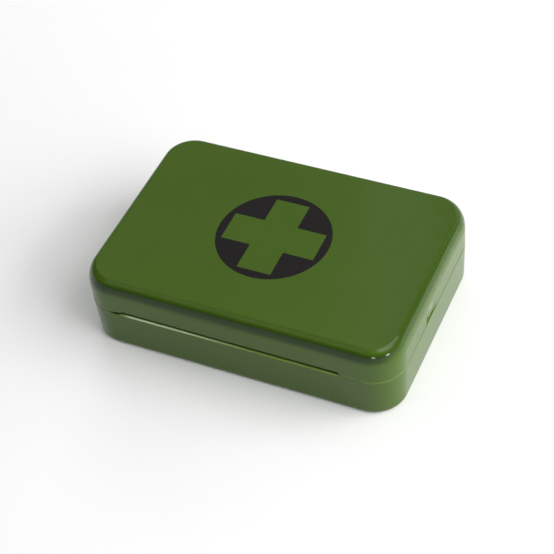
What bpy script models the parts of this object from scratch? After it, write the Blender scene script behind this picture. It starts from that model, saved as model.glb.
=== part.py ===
"""Pocket first aid kit: a two-part moulded plastic box with a rear pin hinge, and what it holds.

Frame: origin at the centre of the box's flat underside, +X along the long side to the right, +Y to the
hinge side, +Z up. Blender units are metres; the constants below are millimetres.
"""
import bpy
import bmesh
from math import pi, sin, cos, asin, atan2, hypot, radians
from mathutils import Matrix, Vector

MM = 0.001

# ---------------------------------------------------------------- driving dimensions (mm)
LENGTH = 125.0            # box, along X
DEPTH = 85.5              # box, along Y, without the hinge
HEIGHT = 32.8             # box, along Z
CORNER_R = 12.4           # vertical corner radius at the seam
CORNER_STEP = 0.72        # how much of an inset the corner radius loses
SEAM_Z = 17.6             # top of the base wall
SEAM_GAP = 0.3            # between the base wall and the lid's edge
BASE_DRAFT = 0.4          # base wall leans in by this much at the bottom
BASE_FOOT_R = 1.7         # rounded bottom edge
WALL = 2.0                # wall thickness of both shells
FLOOR = 2.0               # base floor thickness
LEDGE = 1.1               # flat top of the base wall, outside the lip
LIP_H = 2.3               # lip standing above the ledge, inside the lid's skirt
LID_WALL_TOP = 26.2       # lid wall is straight up to here
LID_LEAN = 0.25           # lid wall leans in by this much there
RIM_IN = 3.1              # width of the lid's rounded edge
LID_ROOF = 1.9            # lid panel thickness
RELIEF_X0, RELIEF_X1 = -46.0, 41.5   # opening relief in the lid's front edge
RELIEF_RAMP = 4.0         # tapered start of the relief at its left end
RELIEF_H = 1.6            # its height
SCOOP_Y = -5.5            # thumb scoops in the lid's short sides
SCOOP_R = (1.1, 5.8, 6.0)
BEAD_Y, BEAD_L, BEAD_OUT = -24.0, 9.0, 0.2   # snap beads on the lip, at the short sides
EMBLEM_R = 21.9           # printed disc
CROSS_L, CROSS_W = 37.2, 13.5
EMBLEM_T = 0.12
EMBLEM_GAP = 0.05
EMBLEM_C = (-1.0, 0.1)

PIN_R = 0.7               # hinge pin
BORE_R = 0.8
BARREL_R = 1.7            # hinge knuckle
AXIS_Y = DEPTH / 2 + BARREL_R + 0.3
AXIS_Z = SEAM_Z + SEAM_GAP / 2
HINGE_X = 36.0            # centre of each hinge, left and right
KNUCKLE_MID = 4.0         # half length of the lid's knuckle
KNUCKLE_END = 9.0         # outer end of the base's knuckles
KNUCKLE_GAP = 0.3

CLEAR = 0.3               # between things that lie on each other
HX, HY = LENGTH / 2, DEPTH / 2

# ---------------------------------------------------------------- start from nothing
for old in list(bpy.data.objects):
    bpy.data.objects.remove(old, do_unlink=True)


def material(name, colour, rough, metal=0.0, coat=0.0):
    m = bpy.data.materials.new(name)
    m.use_nodes = True
    p = m.node_tree.nodes["Principled BSDF"]
    p.inputs["Base Color"].default_value = (*colour, 1.0)
    p.inputs["Roughness"].default_value = rough
    p.inputs["Metallic"].default_value = metal
    p.inputs["Coat Weight"].default_value = coat
    m.diffuse_color = (*colour, 1.0)
    return m


GREEN = material("olive_plastic", (0.075, 0.130, 0.025), 0.22)
INK = material("black_ink", (0.018, 0.016, 0.017), 0.35)
STEEL = material("hinge_steel", (0.62, 0.62, 0.60), 0.28, 1.0)
GAUZE = material("gauze", (0.86, 0.85, 0.80), 0.95)
CLOTH = material("folded_cotton", (0.80, 0.78, 0.70), 0.9)
PAPER = material("wrap_paper", (0.88, 0.88, 0.86), 0.7)
FOIL = material("sachet_foil", (0.75, 0.78, 0.80), 0.3, 0.8)
BAG = material("clear_bag", (0.45, 0.60, 0.72), 0.25)
TAPE = material("adhesive_tape", (0.90, 0.88, 0.82), 0.8)
CORE = material("tape_core_plastic", (0.80, 0.80, 0.78), 0.4)
NICKEL = material("nickel_wire", (0.70, 0.68, 0.64), 0.25, 1.0)
PLASTER = material("plaster_wrap", (0.90, 0.86, 0.78), 0.6)


# ---------------------------------------------------------------- modelling helpers
def to_object(name, bm, mat, sharp=35.0, loc=(0, 0, 0)):
    bmesh.ops.recalc_face_normals(bm, faces=bm.faces)
    me = bpy.data.meshes.new(name)
    bm.to_mesh(me)
    bm.free()
    me.shade_smooth()
    me.set_sharp_from_angle(angle=radians(sharp))
    ob = bpy.data.objects.new(name, me)
    bpy.context.scene.collection.objects.link(ob)
    ob.location = [c * MM for c in loc]
    if mat is not None:
        me.materials.append(mat)
    return ob


def helper(ob):
    """A body that only shapes others: never part of the kit."""
    ob.hide_render = True
    ob.display_type = 'WIRE'
    return ob


def boolean(ob, other, op):
    m = ob.modifiers.new(op.lower() + "_" + other.name, 'BOOLEAN')
    m.object = other
    m.operation = op
    m.solver = 'EXACT'


def corner_ring(bm, hx, hy, r, z, n, centre=(0.0, 0.0), turn=0.0):
    """Rounded rectangle, n + 1 points on each corner, anticlockwise."""
    c, s = cos(turn), sin(turn)
    out = []
    for sx, sy, a0 in ((1, 1, 0.0), (-1, 1, pi / 2), (-1, -1, pi), (1, -1, 3 * pi / 2)):
        for i in range(n + 1):
            a = a0 + (pi / 2) * i / n
            x = sx * (hx - r) + r * cos(a)
            y = sy * (hy - r) + r * sin(a)
            out.append(bm.verts.new(((centre[0] + x * c - y * s) * MM, (centre[1] + x * s + y * c) * MM, z * MM)))
    return out


def skin(bm, rings, closed=False):
    pairs = list(zip(rings, rings[1:]))
    if closed:
        pairs.append((rings[-1], rings[0]))
    for a, b in pairs:
        for i in range(len(a)):
            j = (i + 1) % len(a)
            bm.faces.new((a[i], a[j], b[j], b[i]))


def cap(bm, ring, flip=False):
    bm.faces.new(list(reversed(ring)) if flip else ring)


def shell_ring(bm, inset, z, n=8):
    return corner_ring(bm, HX - inset, HY - inset, max(CORNER_R - CORNER_STEP * inset, 1.0), z, n)


def turned(name, profile, mat, steps, centre, axis='Z', sharp=35.0):
    """Turn an open (radius, height) profile that starts and ends on the axis, or a closed one that stays off it."""
    bm = bmesh.new()
    on_axis = profile[0][0] == 0.0
    pts = [bm.verts.new((r * MM, 0.0, h * MM)) for r, h in profile]
    edges = [bm.edges.new((pts[i], pts[i + 1])) for i in range(len(pts) - 1)]
    if not on_axis:
        edges.append(bm.edges.new((pts[-1], pts[0])))
    bmesh.ops.spin(bm, geom=pts + edges, axis=(0, 0, 1), cent=(0, 0, 0), dvec=(0, 0, 0), angle=2 * pi, steps=steps,
                   use_merge=True, use_duplicate=False)
    bmesh.ops.remove_doubles(bm, verts=bm.verts, dist=0.00001)
    if axis == 'Y':
        bmesh.ops.rotate(bm, verts=bm.verts, cent=(0, 0, 0), matrix=Matrix.Rotation(-pi / 2, 3, 'X'))
    elif axis == 'X':
        bmesh.ops.rotate(bm, verts=bm.verts, cent=(0, 0, 0), matrix=Matrix.Rotation(pi / 2, 3, 'Y'))
    return to_object(name, bm, mat, sharp, centre)


def prism(bm, outline, lo, hi, place):
    """Extrude a closed outline between lo and hi; place(u, v, w) gives the point."""
    a = [bm.verts.new([c * MM for c in place(u, v, lo)]) for u, v in outline]
    b = [bm.verts.new([c * MM for c in place(u, v, hi)]) for u, v in outline]
    skin(bm, [a, b])
    cap(bm, a, True)
    cap(bm, b)


# ---------------------------------------------------------------- base tray
bm = bmesh.new()
d = BASE_DRAFT
rings = [shell_ring(bm, d + BASE_FOOT_R, 0.0)]
for k in range(1, 4):
    a = (pi / 2) * k / 3
    rings.append(shell_ring(bm, d + BASE_FOOT_R * (1 - sin(a)), BASE_FOOT_R * (1 - cos(a))))
rings.append(shell_ring(bm, 0.0, SEAM_Z))
rings.append(shell_ring(bm, LEDGE, SEAM_Z))
rings.append(shell_ring(bm, LEDGE, SEAM_Z + LIP_H))
rings.append(shell_ring(bm, WALL, SEAM_Z + LIP_H))
rings.append(shell_ring(bm, WALL + 0.3, FLOOR + 1.6))
rings.append(shell_ring(bm, WALL + 0.75, FLOOR + 0.45))
rings.append(shell_ring(bm, WALL + 1.9, FLOOR))
skin(bm, rings)
cap(bm, rings[0], True)
cap(bm, rings[-1])
base = to_object("base_shell", bm, GREEN)


def knuckle_outline(z_low, z_high, y_wall):
    """Barrel round the hinge axis, run out to the wall between two heights: tangent lines to the barrel."""
    out = []
    for yw, zw, side in ((y_wall, z_low, -1), (y_wall, z_high, 1)):
        dy, dz = AXIS_Y - yw, AXIS_Z - zw
        dist = hypot(dy, dz)
        heading = atan2(dz, dy) + side * asin(BARREL_R / dist)
        run = (dist ** 2 - BARREL_R ** 2) ** 0.5
        out.append(((yw, zw), (yw + run * cos(heading), zw + run * sin(heading))))
    (w0, t0), (w1, t1) = out
    a0 = atan2(t0[1] - AXIS_Z, t0[0] - AXIS_Y)
    a1 = atan2(t1[1] - AXIS_Z, t1[0] - AXIS_Y)
    while a1 < a0:
        a1 += 2 * pi
    arc = [(AXIS_Y + BARREL_R * cos(a0 + (a1 - a0) * k / 10), AXIS_Z + BARREL_R * sin(a0 + (a1 - a0) * k / 10))
           for k in range(11)]
    return [w0] + arc + [w1]


def along_x(y, z, x):
    return (x, y, z)


bm = bmesh.new()
for side in (-1, 1):
    for lo, hi in ((-KNUCKLE_END, -KNUCKLE_MID - KNUCKLE_GAP), (KNUCKLE_MID + KNUCKLE_GAP, KNUCKLE_END)):
        prism(bm, knuckle_outline(12.0, 15.5, HY - 0.9), side * HINGE_X + lo, side * HINGE_X + hi, along_x)
base_knuckles = helper(to_object("base_knuckles", bm, None))

bm = bmesh.new()
for side in (-1, 1):
    prism(bm, knuckle_outline(2 * AXIS_Z - 15.5, 2 * AXIS_Z - 12.0, HY - 1.1), side * HINGE_X - KNUCKLE_MID,
          side * HINGE_X + KNUCKLE_MID, along_x)
lid_knuckles = helper(to_object("lid_knuckles", bm, None))

bm = bmesh.new()
for side in (-1, 1):
    prism(bm, [(AXIS_Y + BORE_R * cos(2 * pi * k / 16), AXIS_Z + BORE_R * sin(2 * pi * k / 16)) for k in range(16)],
          side * HINGE_X - KNUCKLE_END - 0.5, side * HINGE_X + KNUCKLE_END + 0.5, along_x)
hinge_bores = helper(to_object("hinge_bores", bm, None))

bm = bmesh.new()
for side in (-1, 1):
    x = HX - LEDGE
    prism(bm, [(x - 0.6, SEAM_Z + 0.9), (x + BEAD_OUT * 0.6, SEAM_Z + 1.0), (x + BEAD_OUT, SEAM_Z + 1.25),
               (x + BEAD_OUT * 0.6, SEAM_Z + 1.5), (x - 0.6, SEAM_Z + 1.6)],
          BEAD_Y - BEAD_L / 2, BEAD_Y + BEAD_L / 2, lambda u, v, w, s=side: (s * u, w, v))
snap_beads = helper(to_object("snap_beads", bm, None))

boolean(base, base_knuckles, 'UNION')
boolean(base, snap_beads, 'UNION')
boolean(base, hinge_bores, 'DIFFERENCE')

# ---------------------------------------------------------------- lid
SKIRT_Z = SEAM_Z + SEAM_GAP
bm = bmesh.new()
rings = [shell_ring(bm, 0.0, SKIRT_Z), shell_ring(bm, LID_LEAN, LID_WALL_TOP)]
for k in range(1, 7):
    a = (pi / 2) * k / 6
    rings.append(shell_ring(bm, LID_LEAN + RIM_IN * (1 - cos(a)), LID_WALL_TOP + (HEIGHT - LID_WALL_TOP) * sin(a)))
cap(bm, rings[-1])
outer = rings
inner = [shell_ring(bm, LEDGE - CLEAR, SKIRT_Z), shell_ring(bm, LEDGE - CLEAR, SEAM_Z + LIP_H + CLEAR),
         shell_ring(bm, WALL, SEAM_Z + LIP_H + CLEAR), shell_ring(bm, WALL + 0.25, 25.6)]
for k in range(1, 4):
    a = (pi / 2) * k / 3
    inner.append(shell_ring(bm, WALL + 0.25 + 3.4 * (1 - cos(a)), 25.6 + (HEIGHT - LID_ROOF - 25.6) * sin(a)))
skin(bm, list(reversed(outer)) + inner)
cap(bm, inner[-1])
lid = to_object("lid_shell", bm, GREEN)

bm = bmesh.new()
prism(bm, [(RELIEF_X0 - RELIEF_RAMP, SKIRT_Z - 0.02), (RELIEF_X0 - RELIEF_RAMP, SKIRT_Z - 2.0), (RELIEF_X1, SKIRT_Z - 2.0),
           (RELIEF_X1, SKIRT_Z + RELIEF_H - 0.15), (RELIEF_X1 - 0.6, SKIRT_Z + RELIEF_H), (RELIEF_X0, SKIRT_Z + RELIEF_H)],
      -HY - 2.0, -HY + LEDGE - CLEAR / 2, lambda u, v, w: (u, w, v))
front_relief = helper(to_object("front_relief", bm, None))

scoops = []
for name, side in (("scoop_left", -1), ("scoop_right", 1)):
    bm = bmesh.new()
    bmesh.ops.create_uvsphere(bm, u_segments=18, v_segments=12, radius=1.0)
    bmesh.ops.scale(bm, verts=bm.verts, vec=[c * MM for c in SCOOP_R])
    scoops.append(helper(to_object(name, bm, None, loc=(side * (HX + 0.1), SCOOP_Y, SKIRT_Z))))

boolean(lid, lid_knuckles, 'UNION')
boolean(lid, hinge_bores, 'DIFFERENCE')
boolean(lid, front_relief, 'DIFFERENCE')
for s in scoops:
    boolean(lid, s, 'DIFFERENCE')

# printed mark: a disc with a cross-shaped window
PANEL_Z = HEIGHT
bm = bmesh.new()
prism(bm, [(EMBLEM_R * cos(2 * pi * k / 56), EMBLEM_R * sin(2 * pi * k / 56)) for k in range(56)],
      0.0, EMBLEM_T, lambda u, v, w: (u, v, w))
emblem = to_object("lid_emblem", bm, INK, loc=(EMBLEM_C[0], EMBLEM_C[1], PANEL_Z + EMBLEM_GAP))
bm = bmesh.new()
L, W = CROSS_L / 2, CROSS_W / 2
prism(bm, [(L, -W), (L, W), (W, W), (W, L), (-W, L), (-W, W), (-L, W), (-L, -W), (-W, -W), (-W, -L), (W, -L), (W, -W)],
      -1.0, 1.5, lambda u, v, w: (u, v, w))
cross = helper(to_object("cross_window", bm, None, loc=(EMBLEM_C[0], EMBLEM_C[1], PANEL_Z)))
boolean(emblem, cross, 'DIFFERENCE')

# ---------------------------------------------------------------- hinge pins and the lid's pivot
pin_len = 2 * KNUCKLE_END - 0.6
for name, side in (("hinge_pin_left", -1), ("hinge_pin_right", 1)):
    turned(name, [(0.0, -pin_len / 2), (PIN_R - 0.15, -pin_len / 2), (PIN_R, -pin_len / 2 + 0.15),
                  (PIN_R, pin_len / 2 - 0.15), (PIN_R - 0.15, pin_len / 2), (0.0, pin_len / 2)],
           STEEL, 16, (side * HINGE_X, AXIS_Y, AXIS_Z), axis='X')

pivot = bpy.data.objects.new("lid_pivot", None)
bpy.context.scene.collection.objects.link(pivot)
pivot.location = (0.0, AXIS_Y * MM, AXIS_Z * MM)
for ob in [lid, emblem, lid_knuckles, front_relief, cross] + scoops:
    ob.parent = pivot
    ob.matrix_parent_inverse = Matrix.Translation(pivot.location).inverted()

# ---------------------------------------------------------------- contents
Z0 = FLOOR + CLEAR


def packet(name, mat, size, low, centre, turn=0.0, edge=0.5, crown=0.22, r=1.5, n=2):
    """A wrapped pad: thin crimped edge all round, fuller in the middle."""
    lx, ly, t = size
    bm = bmesh.new()
    mid = low + t / 2
    steps = ((3.2, -0.5), (1.6, -0.5 + crown), (0.4, -edge / (2 * t) - 0.02), (0.0, -edge / (2 * t)),
             (0.0, edge / (2 * t)), (0.4, edge / (2 * t) + 0.02), (1.6, 0.5 - crown), (3.2, 0.5))
    tr = radians(turn)
    rs = [corner_ring(bm, lx / 2 - i, ly / 2 - i, r, mid + h * t, n, centre, tr) for i, h in steps]
    skin(bm, rs)
    cap(bm, rs[0], True)
    cap(bm, rs[-1])
    return to_object(name, bm, mat, 40.0)


def sheet_block(name, mat, size, low, centre, turn=0.0, r=1.0, soft=0.3, n=2):
    """A flat block with softened edges, such as folded paper or cloth."""
    lx, ly, t = size
    bm = bmesh.new()
    e = min(soft, t / 3)
    tr = radians(turn)
    rs = [corner_ring(bm, lx / 2 - i, ly / 2 - i, r, z, n, centre, tr)
          for i, z in ((e, low), (0.0, low + e), (0.0, low + t - e), (e, low + t))]
    skin(bm, rs)
    cap(bm, rs[0], True)
    cap(bm, rs[-1])
    return to_object(name, bm, mat, 40.0)


def roll(name, mat, radius, length, centre):
    """A rolled bandage lying along Y, its ends slightly dished."""
    h = length / 2
    return turned(name, [(0.0, -h + 1.2), (radius * 0.25, -h + 1.0), (radius * 0.85, -h + 0.2), (radius - 0.5, -h),
                         (radius, -h + 0.8), (radius, h - 0.8), (radius - 0.5, h), (radius * 0.85, h - 0.2),
                         (radius * 0.25, h - 1.0), (0.0, h - 1.2)], mat, 28, centre, axis='Y', sharp=50.0)


WIDE_R, NARROW_R = 10.2, 10.0
roll("gauze_roll_wide", GAUZE, WIDE_R, 72.0, (-47.2, 0.5, Z0 + WIDE_R))
roll("gauze_roll_narrow", GAUZE, NARROW_R, 45.0, (34.6, -14.8, Z0 + NARROW_R))

STACK_X = -8.0
z = Z0
sheet_block("triangular_bandage", CLOTH, (56.0, 76.0, 8.0), z, (STACK_X, 0.0), r=4.0, soft=2.2, n=3)
z += 8.0 + CLEAR
packet("wound_dressing", PAPER, (55.0, 75.0, 5.0), z, (STACK_X, 0.0))
z += 5.0 + CLEAR
packet("gloves_packet", BAG, (54.0, 73.0, 4.0), z, (STACK_X, 0.3), turn=-1.0)
z += 4.0 + CLEAR
sheet_block("leaflet", PAPER, (50.0, 37.0, 0.8), z, (STACK_X, 18.5), turn=1.5, r=0.6, soft=0.2)
packet("wipe_sachet_a", FOIL, (50.0, 33.0, 1.8), z, (STACK_X, -19.5), turn=2.0)
packet("wipe_sachet_b", FOIL, (50.0, 33.0, 1.8), z + 1.8 + CLEAR, (STACK_X + 0.5, -19.2), turn=-5.0)
z += 0.8 + CLEAR
packet("plaster_a", PLASTER, (52.0, 15.5, 0.8), z, (STACK_X, 10.0), turn=4.0, edge=0.2)
z += 0.8 + CLEAR
packet("plaster_b", PLASTER, (52.0, 15.5, 0.8), z, (STACK_X, 19.0), turn=-7.0, edge=0.2)
z += 0.8 + CLEAR
packet("plaster_c", PLASTER, (52.0, 15.5, 0.8), z, (STACK_X - 0.5, 26.5), turn=3.0, edge=0.2)

TAPE_C, TAPE_H = (35.0, 24.3), 12.5
turned("tape_roll", [(9.4, 0.2), (9.6, 0.0), (12.9, 0.0), (13.2, 0.3), (13.2, TAPE_H - 0.3), (12.9, TAPE_H),
                     (9.6, TAPE_H), (9.4, TAPE_H - 0.2)], TAPE, 36, (*TAPE_C, Z0))
turned("tape_core", [(7.9, 0.0), (9.1, 0.0), (9.1, TAPE_H), (7.9, TAPE_H)], CORE, 32, (*TAPE_C, Z0))


def tweezers(name, mat, length, spread, height, thick, centre_x, low):
    """Two sprung blades joined at the back, standing on their edges, tips to -Y."""
    def half(s):
        return thick + spread * (sin(pi * min(1.0, s * 1.25) / 2) ** 1.2) * (1 - 0.55 * s ** 3)
    n = 14
    stations = [k / n for k in range(n + 1)]
    left = [(-half(s), s) for s in stations]
    back = 0.08
    inner = [(-(half(s) - thick), s) for s in reversed(stations) if s > back]
    outline = left + inner + [(-x, s) for x, s in reversed(inner)] + [(-x, s) for x, s in reversed(left)]
    # the notch between the blades ends in a small flat at the joined back
    bm = bmesh.new()
    prism(bm, [(centre_x + x, length / 2 - s * length) for x, s in outline], low, low + height, lambda u, v, w: (u, v, w))
    bmesh.ops.remove_doubles(bm, verts=bm.verts, dist=0.00001)
    return to_object(name, bm, mat, 40.0)


tweezers("tweezers", NICKEL, 70.0, 3.4, 5.6, 0.9, 53.6, Z0)


def safety_pin(name, x, y, low, turn):
    """Bent wire: clasp end, fixed arm, one coil, sprung arm back to the clasp."""
    wire_r, arm, gap, coil_r = 0.35, 17.0, 3.4, 1.5
    pts = []
    for k in range(6):
        pts.append((arm * (1 - k / 5), gap / 2, 0.0))
    a0, turns = pi / 2, 1.5
    n = 18
    for k in range(1, n + 1):
        a = a0 + 2 * pi * turns * k / n
        pts.append((coil_r * cos(a), (gap / 2 - coil_r) * cos(pi * k / n) + coil_r * sin(a), 1.2 * k / n))
    x_end, y_end, z_end = pts[-1]
    for k in range(1, 6):
        s = k / 5
        pts.append((x_end + (arm - x_end) * s, y_end + (-gap / 2 - y_end) * s, z_end * (1 - s)))
    cu = bpy.data.curves.new(name, 'CURVE')
    cu.dimensions = '3D'
    cu.bevel_depth = wire_r * MM
    cu.bevel_resolution = 1
    cu.render_resolution_u = 0
    cu.use_fill_caps = True
    sp = cu.splines.new('POLY')
    sp.points.add(len(pts) - 1)
    for p, q in zip(sp.points, pts):
        p.co = (q[0] * MM, q[1] * MM, q[2] * MM, 1.0)
    cu.materials.append(NICKEL)
    ob = bpy.data.objects.new(name, cu)
    bpy.context.scene.collection.objects.link(ob)
    ob.location = (x * MM, y * MM, (low + wire_r) * MM)
    ob.rotation_euler = (0, 0, radians(turn))
    c, s = cos(radians(turn)), sin(radians(turn))
    u, v = arm + CLEAR + 2.2, 0.0
    sheet_block(name + "_clasp", NICKEL, (4.4, 5.4, 1.4), low, (x + u * c - v * s, y + u * s + v * c),
                turn=turn, r=1.3, soft=0.4, n=3)
    return ob


safety_pin("safety_pin_a", 25.6, 17.6, Z0 + TAPE_H + CLEAR, 5.0)
safety_pin("safety_pin_b", 25.6, 28.4, Z0 + TAPE_H + CLEAR, -4.0)
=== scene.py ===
import bpy
import bmesh
import random
from math import pi, sin, cos, tan, asin, acos, atan2, hypot, radians, sqrt, exp, floor
from mathutils import Matrix, Vector, noise


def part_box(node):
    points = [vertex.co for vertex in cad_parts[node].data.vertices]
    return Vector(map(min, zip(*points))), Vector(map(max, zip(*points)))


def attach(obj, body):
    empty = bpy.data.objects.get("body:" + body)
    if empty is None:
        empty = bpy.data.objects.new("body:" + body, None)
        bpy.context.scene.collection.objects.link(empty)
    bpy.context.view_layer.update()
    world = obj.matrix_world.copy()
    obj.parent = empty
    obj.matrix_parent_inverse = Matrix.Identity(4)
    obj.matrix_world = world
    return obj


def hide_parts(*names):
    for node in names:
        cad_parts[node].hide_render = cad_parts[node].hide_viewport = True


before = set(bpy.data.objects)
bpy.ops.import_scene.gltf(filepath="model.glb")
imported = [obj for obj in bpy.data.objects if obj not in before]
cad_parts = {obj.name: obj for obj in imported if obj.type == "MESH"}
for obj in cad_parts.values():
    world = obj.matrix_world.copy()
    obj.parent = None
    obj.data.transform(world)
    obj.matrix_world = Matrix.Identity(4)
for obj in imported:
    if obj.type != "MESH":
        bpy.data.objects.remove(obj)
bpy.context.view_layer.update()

MM = 0.001
base_box = [Vector(v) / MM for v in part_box("base_shell")]
lid_box = [Vector(v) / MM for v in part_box("lid_shell")]
mark_box = [Vector(v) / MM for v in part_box("lid_emblem")]
pin_box = [Vector(v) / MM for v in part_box("hinge_pin_right")]

# ---------------------------------------------------------------- the box's own sizes (mm), as in the CAD
HX, HY = base_box[1].x, -base_box[0].y
HEIGHT = lid_box[1].z
SKIRT_Z = 17.9
SEAM_Z = 17.6
LEDGE, WALL = 1.1, 2.0
LIP_TOP = base_box[1].z
CORNER_R, CORNER_STEP = 12.4, 0.72
AXIS_Y = (pin_box[0].y + pin_box[1].y) / 2
AXIS_Z = (pin_box[0].z + pin_box[1].z) / 2
HINGE_X = (pin_box[0].x + pin_box[1].x) / 2
BARREL_R, BORE_R, PIN_R = 1.7, 0.8, 0.7
MARK = ((mark_box[0].x + mark_box[1].x) / 2, (mark_box[0].y + mark_box[1].y) / 2)


# ---------------------------------------------------------------- node helpers
class Mat:
    """A Principled material with a few helpers for procedural inputs."""

    def __init__(self, name, colour, rough, metal=0.0, ior=1.5, coat=0.0, sheen=0.0, sss=0.0, coat_rough=0.1):
        self.m = bpy.data.materials.new(name)
        self.m.use_nodes = True
        self.t = self.m.node_tree
        self.p = self.t.nodes["Principled BSDF"]
        self.p.inputs["Base Color"].default_value = (*colour, 1.0)
        self.p.inputs["Roughness"].default_value = rough
        self.p.inputs["Metallic"].default_value = metal
        self.p.inputs["IOR"].default_value = ior
        self.p.inputs["Coat Weight"].default_value = coat
        self.p.inputs["Coat Roughness"].default_value = coat_rough
        self.p.inputs["Sheen Weight"].default_value = sheen
        self.m.diffuse_color = (*colour, 1.0)
        self.coord = self.node("ShaderNodeTexCoord")

    def node(self, kind, **props):
        n = self.t.nodes.new(kind)
        for k, v in props.items():
            setattr(n, k, v)
        return n

    def link(self, a, b):
        self.t.links.new(a, b)

    def mapped(self, scale, source=None, turn=(0, 0, 0)):
        n = self.node("ShaderNodeMapping")
        n.inputs["Scale"].default_value = scale
        n.inputs["Rotation"].default_value = turn
        self.link(source or self.coord.outputs["Object"], n.inputs["Vector"])
        return n.outputs["Vector"]

    def noise(self, scale_mm, detail=3.0, rough=0.55, vec=None, distort=0.0):
        n = self.node("ShaderNodeTexNoise")
        n.inputs["Scale"].default_value = 1.0 / (scale_mm * MM)
        n.inputs["Detail"].default_value = detail
        n.inputs["Roughness"].default_value = rough
        n.inputs["Distortion"].default_value = distort
        self.link(vec or self.coord.outputs["Object"], n.inputs["Vector"])
        return n.outputs["Fac"]

    def wave(self, period_mm, vec=None, direction='X', distort=0.0, profile='SIN', kind='BANDS'):
        n = self.node("ShaderNodeTexWave", wave_type=kind, wave_profile=profile)
        if kind == 'BANDS':
            n.bands_direction = direction
        else:
            n.rings_direction = direction
        n.inputs["Scale"].default_value = 2 * pi / 20.0 / (period_mm * MM)
        n.inputs["Distortion"].default_value = distort
        n.inputs["Detail"].default_value = 1.0
        self.link(vec or self.coord.outputs["Object"], n.inputs["Vector"])
        return n.outputs["Fac"]

    def attribute(self, name, which="Fac"):
        n = self.node("ShaderNodeAttribute", attribute_name=name)
        return n.outputs[which]

    def math(self, op, a, b=None, c=None):
        n = self.node("ShaderNodeMath", operation=op)
        for i, v in enumerate((a, b, c)):
            if v is None:
                continue
            if isinstance(v, (int, float)):
                n.inputs[i].default_value = v
            else:
                self.link(v, n.inputs[i])
        return n.outputs[0]

    def remap(self, fac, lo, hi, to_lo, to_hi):
        n = self.node("ShaderNodeMapRange")
        n.inputs["From Min"].default_value = lo
        n.inputs["From Max"].default_value = hi
        n.inputs["To Min"].default_value = to_lo
        n.inputs["To Max"].default_value = to_hi
        self.link(fac, n.inputs["Value"])
        return n.outputs["Result"]

    def mix(self, fac, a, b, mode='MIX'):
        n = self.node("ShaderNodeMix", data_type='RGBA', blend_type=mode)
        if isinstance(fac, (int, float)):
            n.inputs["Factor"].default_value = fac
        else:
            self.link(fac, n.inputs["Factor"])
        for key, v in (("A", a), ("B", b)):
            sock = [s for s in n.inputs if s.name == key and s.type == 'RGBA'][0]
            if isinstance(v, tuple):
                sock.default_value = (*v[:3], 1.0)
            else:
                self.link(v, sock)
        return [s for s in n.outputs if s.type == 'RGBA'][0]

    def colour(self, out):
        self.link(out, self.p.inputs["Base Color"])

    def rough(self, out):
        self.link(out, self.p.inputs["Roughness"])

    def bump(self, *layers):
        """layers: (height output, distance in mm, strength). They add up."""
        last = None
        for out, dist, strength in layers:
            n = self.node("ShaderNodeBump")
            n.inputs["Distance"].default_value = dist * MM
            n.inputs["Strength"].default_value = strength
            self.link(out, n.inputs["Height"])
            if last is not None:
                self.link(last, n.inputs["Normal"])
            last = n.outputs["Normal"]
        self.link(last, self.p.inputs["Normal"])


# ---------------------------------------------------------------- materials of the box
def case_plastic(name, seed_shift):
    m = Mat(name, (0.0470, 0.0970, 0.0055), 0.13, ior=1.5)
    m.p.inputs["Specular IOR Level"].default_value = 0.34
    shifted = m.node("ShaderNodeMapping")
    shifted.inputs["Location"].default_value = (seed_shift, seed_shift * 0.7, 0)
    m.link(m.coord.outputs["Object"], shifted.inputs["Vector"])
    v = shifted.outputs["Vector"]
    cloud = m.noise(34.0, 3.0, 0.5, v)             # slow drift of the pigment
    flow = m.noise(7.0, 4.0, 0.6, m.mapped((1.0, 0.35, 1.0), v), distort=0.6)   # flow of the melt
    speck = m.noise(0.55, 2.0, 0.5, v)
    col = m.mix(m.remap(cloud, 0.3, 0.7, 0.0, 1.0), (0.0445, 0.0935, 0.0048), (0.0500, 0.1000, 0.0058))
    col = m.mix(m.remap(flow, 0.35, 0.7, 0.0, 0.22), col, (0.0580, 0.1060, 0.0095))
    col = m.mix(m.remap(speck, 0.66, 0.78, 0.0, 0.16), col, (0.0800, 0.1200, 0.0350))
    painted_highlight = m.attribute("painted_highlight")                      # painted highlight: the ledge strip whitened where it would catch a reflection
    painted_edge_light = m.attribute("painted_edge_light")                      # painted edge light: thin edges lighter, as if light came through them
    col = m.mix(painted_edge_light, col, (0.2300, 0.3400, 0.0600))
    col = m.mix(painted_highlight, col, (0.7200, 0.8600, 0.5300))
    # painted shade: darkens the shoulder bands, the front wall and the step behind the ledge
    col = m.mix(m.attribute("shade"), col, (0.0060, 0.0230, 0.0015))
    m.colour(col)
    scuff = m.noise(0.9, 5.0, 0.7, m.mapped((1.0, 7.0, 1.0), v, (0, 0, 0.7)))
    r = m.remap(m.noise(12.0, 4.0, 0.6, v), 0.3, 0.7, 0.105, 0.15)
    r = m.math('ADD', r, m.remap(scuff, 0.62, 0.75, 0.0, 0.10))
    r = m.math('ADD', r, m.math('MULTIPLY', painted_highlight, 0.35))
    m.rough(r)
    m.bump((m.noise(18.0, 2.0, 0.5, v), 0.10, 0.35), (m.noise(1.1, 2.0, 0.5, v), 0.006, 0.35))
    return m.m


LID_PLASTIC = case_plastic("lid_olive_plastic", 0.0)
BASE_PLASTIC = case_plastic("base_olive_plastic", 0.31)


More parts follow.
